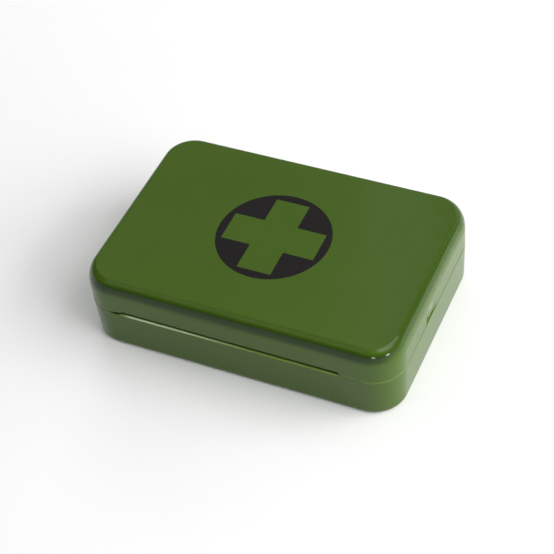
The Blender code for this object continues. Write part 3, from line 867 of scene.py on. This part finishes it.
def plaster_material():
    m = Mat("plaster_wrapper", (0.82, 0.80, 0.74), 0.5)
    x, y, z = xyz(m)
    fibre = m.noise(0.4, 4.0, 0.7)
    col = m.mix(m.remap(fibre, 0.3, 0.7, 0.0, 1.0), (0.80, 0.79, 0.75), (0.86, 0.85, 0.81))
    strip = m.math('MULTIPLY', stripe(m, x, -21.0, 21.0, 0.5), stripe(m, y, -4.9, 4.9, 0.5))
    col = m.mix(m.math('MULTIPLY', strip, 0.34), col, (0.62, 0.42, 0.27))
    pad = m.math('MULTIPLY', stripe(m, x, -7.5, 7.5, 0.4), stripe(m, y, -4.3, 4.3, 0.4))
    col = m.mix(m.math('MULTIPLY', pad, 0.45), col, (0.80, 0.77, 0.70))
    lines = m.math('MAXIMUM', stripe(m, y, 6.1, 6.7), stripe(m, y, -6.7, -6.1))
    col = m.mix(m.math('MULTIPLY', lines, 0.85), col, (0.42, 0.05, 0.05))
    col = m.mix(cross_mask(m, x, y, -22.8, 0.0, 1.7, 0.6), col, (0.42, 0.05, 0.05))
    m.colour(col)
    m.rough(m.remap(m.noise(2.0, 3.0), 0.3, 0.7, 0.38, 0.6))
    m.bump((m.noise(1.6, 4.0, 0.65), 0.06, 0.5), (fibre, 0.01, 0.4))
    return m.m


def leaflet_material():
    m = Mat("leaflet_paper", (0.84, 0.84, 0.82), 0.6)
    x, y, z = xyz(m)
    fibre = m.noise(0.35, 4.0, 0.7)
    col = m.mix(m.remap(fibre, 0.3, 0.7, 0.0, 1.0), (0.82, 0.82, 0.80), (0.87, 0.87, 0.85))
    head = stripe(m, y, 10.5, 18.6)
    mark_ = cross_mask(m, x, y, -19.0, 14.5, 2.9, 1.0)
    col = m.mix(m.math('MULTIPLY', head, m.math('SUBTRACT', 1.0, mark_)), col, (0.05, 0.20, 0.09))
    for k, c in enumerate(((0.55, 0.66, 0.50), (0.72, 0.62, 0.40), (0.50, 0.62, 0.70))):
        px = -15.5 + 15.5 * k
        col = m.mix(m.math('MULTIPLY', stripe(m, x, px - 6.0, px + 6.0), stripe(m, y, -12.5, 5.5)), col, c)
    m.colour(col)
    m.rough(m.remap(m.noise(2.5, 3.0), 0.3, 0.7, 0.5, 0.68))
    m.bump((m.noise(5.0, 3.0, 0.6), 0.10, 0.4), (fibre, 0.008, 0.4))
    return m.m


def tape_material():
    m = Mat("woven_tape", (0.80, 0.78, 0.72), 0.88, sheen=0.15)
    cloth = m.attribute("cloth", "Vector")
    u, v, w = xyz(m, cloth)
    warp, weft = m.wave(0.42, cloth, 'X', 0.4), m.wave(0.34, cloth, 'Y', 0.4)
    weave = m.math('MAXIMUM', warp, weft)
    side = m.attribute("side")
    layers = m.wave(0.30, cloth, 'Z', 0.3)
    col = m.mix(m.remap(m.math('MULTIPLY', m.math('SUBTRACT', 1.0, warp), m.math('SUBTRACT', 1.0, weft)), 0.2, 0.9, 0.0, 0.5),
                (0.80, 0.785, 0.735), (0.60, 0.575, 0.51))
    edge = m.mix(m.remap(layers, 0.2, 0.8, 0.0, 1.0), (0.62, 0.585, 0.50), (0.80, 0.775, 0.71))
    col = m.mix(side, col, edge)
    col = m.mix(m.remap(m.noise(5.0, 4.0), 0.4, 0.75, 0.0, 0.3), col, (0.66, 0.62, 0.53))
    m.colour(col)
    m.rough(m.remap(m.noise(0.5, 2.0), 0.3, 0.7, 0.8, 0.95))
    h = m.math('ADD', m.math('MULTIPLY', layers, side), m.math('MULTIPLY', weave, m.math('SUBTRACT', 1.0, side)))
    m.bump((h, 0.07, 0.7), (m.noise(0.2, 2.0), 0.02, 0.3))
    return m.m


def white_plastic_material():
    m = Mat("spool_white_plastic", (0.78, 0.78, 0.76), 0.35)
    m.colour(m.mix(m.remap(m.noise(4.0, 4.0), 0.3, 0.7, 0.0, 1.0), (0.76, 0.76, 0.74), (0.82, 0.82, 0.79)))
    m.rough(m.remap(m.noise(1.5, 3.0), 0.3, 0.7, 0.28, 0.45))
    m.bump((m.noise(0.8, 3.0), 0.01, 0.3))
    return m.m


GAUZE, BAND = gauze_material(), band_material()
CALICO, POUCH, GLOVES = cotton_material(), paper_pouch_material(), glove_bag_material()
SACHET, PLASTER, LEAFLET = sachet_material(), plaster_material(), leaflet_material()
TAPE, SPOOL = tape_material(), white_plastic_material()
TWEEZER_STEEL = steel_material("tweezer_nickel", (0.66, 0.645, 0.61), 0.24, 'Y')
WIRE = steel_material("pin_wire_nickel", (0.70, 0.68, 0.64), 0.18, 'X')


# ---------------------------------------------------------------- rolled bandages
def gauze_roll(node, name, seed, band):
    mid, size = node_mid(node)
    R, L = size.z / 2 - 0.18, size.y
    na, ns = 112, int(L / 1.1)
    step = 0.55
    a_free = radians(118)                       # where the last turn ends, up on the right
    bm = bmesh.new()
    cloth = bm.verts.layers.float_vector.new("cloth")

    def radius(a, y):
        """a runs from the free end once round; the last turn lies on the one before."""
        k = a / (2 * pi)
        r = R - step * k * 0.9
        r += 0.10 * wob(12 * cos(a), y * 0.35, 12 * sin(a), 5.0, seed)
        r -= 0.16 * (0.5 + 0.5 * sin(2 * pi * y / 9.0 + 3 * wob(y, a * 4, 0, 14.0, seed))) * 0.4
        return r

    def point(r, a, y):
        t = a_free + a
        x, z = r * cos(t), r * sin(t)
        z = max(z, -(size.z / 2) + 0.05)       # it rests on the tray's floor
        if z < -R * 0.93:
            z = -R * 0.93 + (z + R * 0.93) * 0.4
        return (mid.x + x) * MM, (mid.y + y) * MM, (mid.z + z) * MM

    angles = [2 * pi * k / na for k in range(na + 1)]
    rows = []
    for j in range(ns + 1):
        y = L * (j / ns - 0.5)
        pull = 0.25 * (1 + wob(0, y * 3, seed, 3.0)) if j in (0, ns) else 0.0
        row = []
        for a in angles:
            r = radius(a, y) - pull * 0.4
            yy = y * (1 - 0.004) + (0.35 * wob(10 * cos(a), 10 * sin(a), 2.0, 4.0, seed) if j in (0, ns) else 0.0) * (-1 if y > 0 else 1)
            yy = max(-L / 2, min(L / 2, yy))
            v = bm.verts.new(point(r, a, yy))
            v[cloth] = (r * a * MM, yy * MM, 0)
            row.append(v)
        rows.append(row)
    for a, b in zip(rows, rows[1:]):
        for i in range(na):
            bm.faces.new((a[i], b[i], b[i + 1], a[i + 1]))
        bm.faces.new((a[na], b[na], b[0], a[0]))     # the step down at the free end
    # wound ends
    pitch = 0.95
    nr = int((R - 1.0) / (pitch / 4))
    for sgn, edge_row in ((-1, rows[0]), (1, rows[-1])):
        prev = edge_row
        for k in range(1, nr + 1):
            f = 1 - k / nr
            row = []
            for i, a in enumerate(angles):
                rr = 1.0 + (radius(a, sgn * L / 2) - 1.0) * f
                turn_ = rr / pitch + a / (2 * pi)
                tri = abs((turn_ % 1.0) - 0.5) * 2
                y = sgn * (L / 2 - 0.30 - 0.55 * tri ** 1.5 + 0.22 * wob(rr * cos(a), rr * sin(a), 0, 2.6, seed) - 0.8 * (1 - f) ** 2)
                v = bm.verts.new(point(rr, a, y))
                v[cloth] = (rr * a * MM, (y + 0.4 * tri) * MM, 0)
                row.append(v)
            for i in range(na):
                q = (prev[i], prev[i + 1], row[i + 1], row[i])
                bm.faces.new(q if sgn > 0 else tuple(reversed(q)))
            q = (prev[na], prev[0], row[0], row[na])
            bm.faces.new(q if sgn > 0 else tuple(reversed(q)))
            prev = row
        bm.faces.new(prev if sgn > 0 else list(reversed(prev)))
    bmesh.ops.recalc_face_normals(bm, faces=bm.faces)
    ob = new_object(name, bm, GAUZE, sharp=62)
    keep(ob, node)
    # printed paper band that keeps it rolled
    half = band / 2
    bm = bmesh.new()
    cloth = bm.verts.layers.float_vector.new("cloth")
    rb = size.z / 2 - 0.02
    na = 96
    rings = []
    for y, dr in ((-half, -0.22), (-half, -0.04), (-half + 0.1, 0.0), (half - 0.1, 0.0), (half, -0.04), (half, -0.22)):
        ring = []
        for k in range(na):
            a = 2 * pi * k / na
            r = rb + dr + 0.05 * wob(9 * cos(a), 0, 9 * sin(a), 6.0, seed) - 0.05
            x, z = r * cos(a), r * sin(a)
            if z < -R * 0.93:
                z = -R * 0.93 + (z + R * 0.93) * 0.4
            v = bm.verts.new(((mid.x + x) * MM, (mid.y + y) * MM, (mid.z + z) * MM))
            v[cloth] = (((a - pi / 2 + 0.12) if a < 3 * pi / 2 else (a - 5 * pi / 2 + 0.12)) * r * MM, y * MM, 0)
            ring.append(v)
        rings.append(ring)
    for a, b in zip(rings, rings[1:]):
        skin(bm, b, a)
    skin(bm, rings[0], rings[-1])
    bmesh.ops.recalc_face_normals(bm, faces=bm.faces)
    ob = new_object(name + "_band", bm, BAND, sharp=40)
    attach(ob, "base")


gauze_roll("gauze_roll_wide", "gauze_roll_wide_wound", 1.0, 24.0)
gauze_roll("gauze_roll_narrow", "gauze_roll_narrow_wound", 2.4, 24.0)


# ---------------------------------------------------------------- folded triangular bandage
def triangular_bandage():
    mid, size = node_mid("triangular_bandage")
    hx, hy, t = size.x / 2, size.y / 2, size.z
    bm = bmesh.new()
    n_c, n_x, n_y = 8, 26, 36
    nz, layers = 44, 7

    def ring(inset, z, k):
        r = max(4.0 - inset, 0.6)
        out = []
        spec = []
        for sx, sy, a0 in ((1, -1, -pi / 2), (1, 1, 0), (-1, 1, pi / 2), (-1, -1, pi)):
            for i in range(n_c + 1):
                a = a0 + (pi / 2) * i / n_c
                spec.append((sx * (hx - inset - r) + r * cos(a), sy * (hy - inset - r) + r * sin(a)))
            nxt = {(1, -1): 'y', (1, 1): 'x', (-1, 1): 'y', (-1, -1): 'x'}[(sx, sy)]
            n = n_y if nxt == 'y' else n_x
            x0, y0 = spec[-1]
            x1, y1 = (x0, -y0) if nxt == 'y' else (-x0, y0)
            for i in range(1, n):
                spec.append((x0 + (x1 - x0) * i / n, y0 + (y1 - y0) * i / n))
        for x, y in spec:
            d = 0.28 * wob(x, y, k * 0.9, 9.0, 3.3)
            f = 1 - max(0.0, d) / max(abs(x), abs(y))
            zz = z + 0.22 * wob(x, y, z * 0.3, 15.0, 4.1) * (1 if 0.06 < (z / t + 0.5) < 0.97 else 0.3)
            zz = max(-t / 2, min(t / 2, zz))
            out.append(bm.verts.new(((mid.x + x * f) * MM, (mid.y + y * f) * MM, (mid.z + zz) * MM)))
        return out

    rings = []
    for k in range(nz + 1):
        f = k / nz
        z = (f - 0.5) * t
        layer = abs(sin(pi * f * layers))
        inset = 0.25 + 0.75 * (1 - layer ** 0.45) + 1.1 * max(0.0, abs(2 * f - 1) - 0.8) * 4
        rings.append(ring(inset, z, k))
    for i in (1, 2, 3, 4, 5):
        rings.append(ring(1.3 + 3.2 * i, t / 2 - 0.02, nz + i))
    for a, b in zip(rings, rings[1:]):
        skin(bm, a, b)
    bm.faces.new(list(reversed(rings[0])))
    bm.faces.new(rings[-1])
    bmesh.ops.recalc_face_normals(bm, faces=bm.faces)
    ob = new_object("triangular_bandage_folded", bm, CALICO, sharp=65)
    keep(ob, "triangular_bandage")


triangular_bandage()

# ---------------------------------------------------------------- packets
mid, size = node_mid("wound_dressing")
ob = place(pillow("wound_dressing_pouch", (55.0, 75.0, 4.96), POUCH, seal=3.4, ramp=6.0, edge=0.35, crimp=0.18, wrinkle=0.22,
                  seed=3.0, crimp_all=True), *mid)
keep(ob, "wound_dressing")

mid, size = node_mid("gloves_packet")
ob = place(pillow("gloves_packet_bag", (54.0, 73.0, 3.96), GLOVES, seal=2.2, ramp=4.0, edge=0.2, crimp=0.0, wrinkle=0.42,
                  seed=5.5, power=0.6), mid.x, mid.y, mid.z, -1.0)
keep(ob, "gloves_packet")

for tag, turn, seed in (("a", 2.0, 7.0), ("b", -5.0, 9.3)):
    mid, size = node_mid("wipe_sachet_" + tag)
    ob = place(pillow("wipe_sachet_%s_foil" % tag, (50.0, 33.0, 1.78), SACHET, seal=4.2, ramp=5.0, edge=0.28, crimp=0.16,
                      wrinkle=0.20, seed=seed, res=0.6), mid.x, mid.y, mid.z, turn)
    keep(ob, "wipe_sachet_" + tag)


def strip_shape(x, y):
    strip = (1 - smoothstep(20.5, 21.8, abs(x))) * (1 - smoothstep(4.6, 5.6, abs(y)))
    pad = (1 - smoothstep(6.8, 8.6, abs(x))) * (1 - smoothstep(3.9, 5.2, abs(y)))
    return 0.32 * strip + 0.68 * pad


for tag, turn, seed in (("a", 4.0, 11.0), ("b", -7.0, 12.7), ("c", 3.0, 14.1)):
    mid, size = node_mid("plaster_" + tag)
    ob = place(pillow("plaster_%s_wrapped" % tag, (52.0, 15.5, 0.78), PLASTER, seal=1.6, ramp=1.0, edge=0.22, crimp=0.07,
                      wrinkle=0.09, seed=seed, res=0.4, shape=strip_shape, power=1.0, corner=0.6), mid.x, mid.y, mid.z, turn)
    keep(ob, "plaster_" + tag)


def leaflet():
    mid, size = node_mid("leaflet")
    lx, ly, t = 50.0, 37.0, 0.8
    bm = bmesh.new()
    th, leaves = 0.10, 4
    gap = (t - th) / (leaves - 1)
    line = []
    for k in range(leaves):
        z = -t / 2 + th / 2 + gap * k
        x0, x1 = (-lx / 2 + gap / 2, lx / 2 - gap / 2) if k % 2 == 0 else (lx / 2 - gap / 2, -lx / 2 + gap / 2)
        for i in range(25):
            f = i / 24
            line.append((x0 + (x1 - x0) * f, z))
        if k < leaves - 1:
            s = 1 if k % 2 == 0 else -1
            for i in range(1, 6):
                a = -pi / 2 + pi * i / 6
                line.append((x1 + s * gap / 2 * cos(a), z + gap / 2 + gap / 2 * sin(a)))
    ny = 10
    grid = []
    for side in (1, -1):
        rows = []
        for i, (x, z) in enumerate(line):
            x0, z0 = line[max(i - 1, 0)]
            x1, z1 = line[min(i + 1, len(line) - 1)]
            dx, dz = x1 - x0, z1 - z0
            d = hypot(dx, dz)
            nx_, nz_ = -dz / d, dx / d
            rows.append([bm.verts.new(((x + side * nx_ * th / 2) * MM, ly * (j / ny - 0.5) * MM,
                                       (z + side * nz_ * th / 2 * 0.98) * MM)) for j in range(ny + 1)])
        grid.append(rows)
    top, bot = grid
    for g, flip in ((top, False), (bot, True)):
        for a, b in zip(g, g[1:]):
            for j in range(ny):
                q = (a[j], b[j], b[j + 1], a[j + 1])
                bm.faces.new(tuple(reversed(q)) if flip else q)
    for i in range(len(line) - 1):
        bm.faces.new((top[i][0], bot[i][0], bot[i + 1][0], top[i + 1][0]))
        bm.faces.new((top[i][ny], top[i + 1][ny], bot[i + 1][ny], bot[i][ny]))
    for i in (0, len(line) - 1):
        for j in range(ny):
            q = (top[i][j], top[i][j + 1], bot[i][j + 1], bot[i][j])
            bm.faces.new(q if i == 0 else tuple(reversed(q)))
    bmesh.ops.recalc_face_normals(bm, faces=bm.faces)
    ob = place(new_object("leaflet_folded", bm, LEAFLET, sharp=50), mid.x, mid.y, mid.z, 1.5)
    keep(ob, "leaflet")


leaflet()


# ---------------------------------------------------------------- adhesive tape on its spool
def tape():
    mid, size = node_mid("tape_roll")
    R0, R1, H = 9.42, 13.16, 12.5
    na = 144
    a_free = radians(-62)
    bm = bmesh.new()
    cloth = bm.verts.layers.float_vector.new("cloth")
    side_l = float_layer(bm, "side")
    prof = []
    for k in range(15):                         # under side, outwards
        prof.append((R0 + (R1 - R0) * k / 14, 0.0, 1.0))
    prof += [(R1, 0.15, 0.5)] + [(R1, H * k / 8, 0.0) for k in range(1, 8)] + [(R1, H - 0.15, 0.5)]
    for k in range(15):
        prof.append((R1 - (R1 - R0) * k / 14, H, 1.0))
    prof += [(R0, H * 0.75, 0.0), (R0, H * 0.25, 0.0)]
    rings = []
    for r, h, s in prof:
        ring = []
        for i in range(na + 1):
            a = 2 * pi * i / na
            outer_ = (r - R0) / (R1 - R0)
            rr = r - 0.34 * (a / (2 * pi)) * outer_ ** 3
            dz = 0.0
            if s > 0.9:
                dz = (0.10 * wob(rr * cos(a) * 0.4, rr * sin(a) * 0.4, 0, 3.0, 6.0) + 0.09 * abs(sin((rr / 0.9 + a / (2 * pi)) * pi))) * (1 if h < 1 else -1)
                dz = max(dz, 0.0) if h < 1 else min(dz, 0.0)
            t_ = a_free + a
            v = bm.verts.new(((mid.x + rr * cos(t_)) * MM, (mid.y + rr * sin(t_)) * MM, (2.3 + h + dz) * MM))
            v[cloth] = (rr * a * MM, h * MM, (rr + 0.30 * a / (2 * pi)) * MM)
            v[side_l] = s
            ring.append(v)
        rings.append(ring)
    n = len(rings)
    for k in range(n):
        a, b = rings[k], rings[(k + 1) % n]
        for i in range(na):
            bm.faces.new((a[i], a[i + 1], b[i + 1], b[i]))
        bm.faces.new((a[na], a[0], b[0], b[na]))
    bmesh.ops.recalc_face_normals(bm, faces=bm.faces)
    ob = new_object("tape_roll_wound", bm, TAPE, sharp=45)
    keep(ob, "tape_roll")
    # spool
    bm = bmesh.new()
    ri, ro = 7.92, 9.08
    prof = [(ri + 0.35, 0.0), (ro - 0.2, 0.0), (ro, 0.2), (ro, H - 0.2), (ro - 0.2, H), (ri + 0.35, H), (ri + 0.08, H - 0.25),
            (ri, H - 0.9), (ri, 0.9), (ri + 0.08, 0.25)]
    rings = []
    for r, h in prof:
        ring = []
        for i in range(120):
            a = 2 * pi * i / 120
            rr = r + (0.28 * (0.5 + 0.5 * sin(a * 12)) ** 6 if r < ri + 0.3 else 0.0)
            ring.append(bm.verts.new(((mid.x + rr * cos(a)) * MM, (mid.y + rr * sin(a)) * MM, (2.3 + h) * MM)))
        rings.append(ring)
    for k in range(len(rings)):
        skin(bm, rings[k], rings[(k + 1) % len(rings)])
    bmesh.ops.recalc_face_normals(bm, faces=bm.faces)
    ob = new_object("tape_spool", bm, SPOOL, sharp=40)
    keep(ob, "tape_core")


tape()


# ---------------------------------------------------------------- tweezers
def tweezers():
    mid, size = node_mid("tweezers")
    length, height = size.y, size.z
    n = 150
    bm = bmesh.new()
    for side in (-1, 1):
        rings = []
        for k in range(n + 1):
            s = k / n
            bow = 3.4 * (sin(pi * min(1.0, s * 1.25) / 2) ** 1.2) * (1 - 0.55 * s ** 3)
            th = 0.86 - 0.25 * smoothstep(0.75, 1.0, s)
            # the blades are welded together at the back
            x_in = bow if s > 0.06 else bow * smoothstep(0.0, 0.06, s)
            x_in = max(x_in, 0.005)
            h = height * (0.62 + 0.38 * smoothstep(0.02, 0.30, s)) * (1 - 0.80 * smoothstep(0.70, 1.0, s))
            grip = 0.10 * max(0.0, sin(2 * pi * s * length / 1.6)) * smoothstep(0.40, 0.43, s) * (1 - smoothstep(0.66, 0.69, s))
            x_out = x_in + th - grip
            y = length / 2 - s * length
            y_tip = y + 1.4 * smoothstep(0.97, 1.0, s) * 0
            z0, z1 = -h / 2, h / 2
            b = min(0.14, h / 4)
            ring = []
            for x, z in ((x_in + b, z0), (x_out - b, z0), (x_out, z0 + b), (x_out, 0.0), (x_out, z1 - b), (x_out - b, z1),
                         (x_in + b, z1), (x_in, z1 - b), (x_in, 0.0), (x_in, z0 + b)):
                ring.append(bm.verts.new(((mid.x + side * x) * MM, (mid.y + y_tip) * MM, (mid.z + z) * MM)))
            rings.append(ring)
        for a, b_ in zip(rings, rings[1:]):
            skin(bm, a, b_)
        bm.faces.new(list(reversed(rings[0])))
        bm.faces.new(rings[-1])
    bmesh.ops.recalc_face_normals(bm, faces=bm.faces)
    ob = new_object("tweezers_stamped", bm, TWEEZER_STEEL, sharp=38)
    keep(ob, "tweezers")


tweezers()


# ---------------------------------------------------------------- safety pins
def sweep(bm, pts, r, sides=14):
    """Tube along a smooth path, with round ends."""
    rings = []
    up = Vector((0, 0, 1))
    m = len(pts)
    frame_u = None
    for i, p in enumerate(pts):
        t = (pts[min(i + 1, m - 1)] - pts[max(i - 1, 0)]).normalized()
        if frame_u is None:
            frame_u = t.orthogonal().normalized()
        frame_u = (frame_u - t * frame_u.dot(t)).normalized()
        w = t.cross(frame_u)
        rings.append([bm.verts.new((p + (frame_u * cos(2 * pi * k / sides) + w * sin(2 * pi * k / sides)) * r) * MM)
                      for k in range(sides)])
    for a, b in zip(rings, rings[1:]):
        skin(bm, a, b)
    bm.faces.new(list(reversed(rings[0])))
    bm.faces.new(rings[-1])


def safety_pin(tag):
    wlo, whi = [Vector(v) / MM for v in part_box("safety_pin_" + tag)]
    cmid, csize = node_mid("safety_pin_%s_clasp" % tag)
    turn = {"a": 5.0, "b": -4.0}[tag]
    loc = {"a": (25.6, 17.6), "b": (25.6, 28.4)}[tag]
    low = wlo.z
    r, arm, gap, coil = 0.36, 18.8, 3.4, 1.5
    pts = []
    for k in range(30):
        f = k / 29
        pts.append(Vector((arm * (1 - f), gap / 2 + 0.25 * sin(pi * f), 0.0)))
    n, turns = 90, 1.5
    for k in range(1, n + 1):
        f = k / n
        a = pi / 2 + 2 * pi * turns * f
        pts.append(Vector((coil * cos(a), (gap / 2 - coil) * cos(pi * f) + coil * sin(a), 1.15 * f)))
    last = pts[-1].copy()
    for k in range(1, 41):
        f = k / 40
        x = last.x + (arm - last.x) * f
        y = last.y + (-gap / 2 + 0.2 - last.y) * f - 0.35 * sin(pi * f)
        pts.append(Vector((x, y, last.z * (1 - smoothstep(0, 1, f)))))
    bm = bmesh.new()
    sweep(bm, pts, r)
    bmesh.ops.recalc_face_normals(bm, faces=bm.faces)
    ob = place(new_object("safety_pin_%s_wire" % tag, bm, WIRE, sharp=50), loc[0], loc[1], low + r, turn)
    keep(ob, "safety_pin_" + tag)
    # pressed sheet clasp: a rounded cap, pinched along its middle
    bm = bmesh.new()
    lx, ly, t = 4.4, 5.4, 1.4
    nu, nv = 40, 16
    rings = []
    for j in range(nv + 1):
        b = -pi / 2 + pi * j / nv
        cz, rr = sin(b), cos(b)
        ring = []
        for i in range(nu):
            a = 2 * pi * i / nu
            ca, sa = cos(a), sin(a)
            px = (abs(ca) ** 0.62) * (1 if ca > 0 else -1) * lx / 2
            py = (abs(sa) ** 0.72) * (1 if sa > 0 else -1) * ly / 2
            k = max(rr, 0.0) ** 0.38
            z = (abs(cz) ** 0.8) * (1 if cz > 0 else -1) * t / 2
            pinch = 0.30 * exp(-(py * k / 0.55) ** 2) * (1 if z > 0 else 0.4)
            z -= pinch * (1 if z > 0 else -1) * (0.3 + 0.7 * rr)
            ring.append(bm.verts.new((px * k * MM, py * k * MM, z * MM)))
        rings.append(ring)
    for a, b in zip(rings[1:-1], rings[2:-1]):
        skin(bm, a, b)
    bm.faces.new(list(reversed(rings[1])))
    bm.faces.new(rings[-2])
    for v in rings[0] + rings[-1]:
        bm.verts.remove(v)
    bmesh.ops.recalc_face_normals(bm, faces=bm.faces)
    ob = place(new_object("safety_pin_%s_cap" % tag, bm, WIRE, sharp=50), cmid.x, cmid.y, cmid.z, turn)
    keep(ob, "safety_pin_%s_clasp" % tag)


safety_pin("a")
safety_pin("b")


# ---------------------------------------------------------------- camera
cam_data = bpy.data.cameras.new("camera")
cam = bpy.data.objects.new("camera", cam_data)
bpy.context.scene.collection.objects.link(cam)
CAM_AZ, CAM_EL, CAM_ROLL = radians(28.8478), radians(46.2214), radians(-7.1002)
UNIT = 18.61
DIST, FOCAL, OFF = 30.96, 1554.6, (-3.3003, -40.7872)
back = Vector((sin(CAM_AZ) * cos(CAM_EL), -cos(CAM_AZ) * cos(CAM_EL), sin(CAM_EL)))
zc = -back
xc = zc.cross(Vector((0, 0, 1))).normalized()
yc = zc.cross(xc)
cr, sr = cos(CAM_ROLL), sin(CAM_ROLL)
rx, ry, rz = xc * cr - yc * sr, xc * sr + yc * cr, zc      # rows: right, down, forward
off = Vector((OFF[0] * DIST / FOCAL, OFF[1] * DIST / FOCAL, DIST))
centre = -(rx * off.x + ry * off.y + rz * off.z)
loc = centre * UNIT + Vector((-1.03, 0.12, 32.8))
rot = Matrix((rx, -ry, -rz)).transposed()
cam.matrix_world = Matrix.Translation(loc * MM) @ rot.to_4x4()
cam_data.sensor_width = 36.0
cam_data.lens = FOCAL * 36.0 / 554.0
cam_data.clip_start, cam_data.clip_end = 0.01, 50.0
bpy.context.scene.camera = cam

# ---------------------------------------------------------------- floor and light
bm = bmesh.new()
bmesh.ops.create_grid(bm, x_segments=1, y_segments=1, size=3.0)
fm = Mat("floor_paper", (0.86, 0.86, 0.86), 0.7)
fm.colour(fm.mix(fm.remap(fm.noise(90.0, 2.0), 0.3, 0.7, 0.0, 1.0), (0.90, 0.90, 0.90), (0.91, 0.91, 0.908)))
floor_ob = new_object("floor", bm, fm.m)

world = bpy.data.worlds.new("studio")
bpy.context.scene.world = world
world.use_nodes = True
world.node_tree.nodes["Background"].inputs["Color"].default_value = (1.0, 1.0, 1.0, 1.0)
world.node_tree.nodes["Background"].inputs["Strength"].default_value = 0.10
bpy.context.scene.view_settings.view_transform = 'Standard'


def area(name, az, el, dist, size, power, target=(0, 0, 0.02), colour=(1, 1, 1)):
    """A softbox seen from the object at that azimuth (0 is the front, -Y; 90 the right) and elevation."""
    a, e = radians(az), radians(el)
    d = Vector((sin(a) * cos(e), -cos(a) * cos(e), sin(e)))
    li = bpy.data.lights.new(name, 'AREA')
    li.shape = 'RECTANGLE'
    li.size, li.size_y = size
    li.energy = power
    li.color = colour
    ob = bpy.data.objects.new(name, li)
    bpy.context.scene.collection.objects.link(ob)
    ob.location = Vector(target) + d * dist
    ob.rotation_mode = 'QUATERNION'
    ob.rotation_quaternion = d.to_track_quat('Z', 'Y')
    return ob


SOFT = (0.55, 0.45)
LIGHTS = [
    ("right_high", 90, 50, 1.0, (1.2, 0.6), 5.2),
    ("top_right", 80, 67, 1.0, (1.3, 1.1), 2.0),
    ("key_back", 158, 18, 1.0, (0.9, 0.5), 1.0),
    ("back", 180, 45, 1.0, SOFT, 0.22),
    ("sheen_panel", 225, 43, 1.0, (0.75, 0.6), 0.42),
    ("sheen_left", 285, 66, 1.0, (0.6, 0.5), 0.40),
    ("sheen_front", 336, 38, 1.0, (0.6, 0.4), 0.40),
    ("window_front", 24, 3.0, 1.2, (0.18, 0.08), 1.05),
    ("window_right", 64, 2.6, 1.2, (0.20, 0.08), 1.3),
]
# broad fill that only brightens: it leaves no mirror image in the gloss
FILL = [
    ("fill_right", 94, 22, 1.0, (1.2, 0.7), 12.6),
    ("fill_back", 212, 14, 1.0, SOFT, 3.6),
    ("fill_left", 268, 13, 1.0, SOFT, 3.0),
]
for args in LIGHTS:
    area(*args)
for args in FILL:
    area(*args).visible_glossy = False
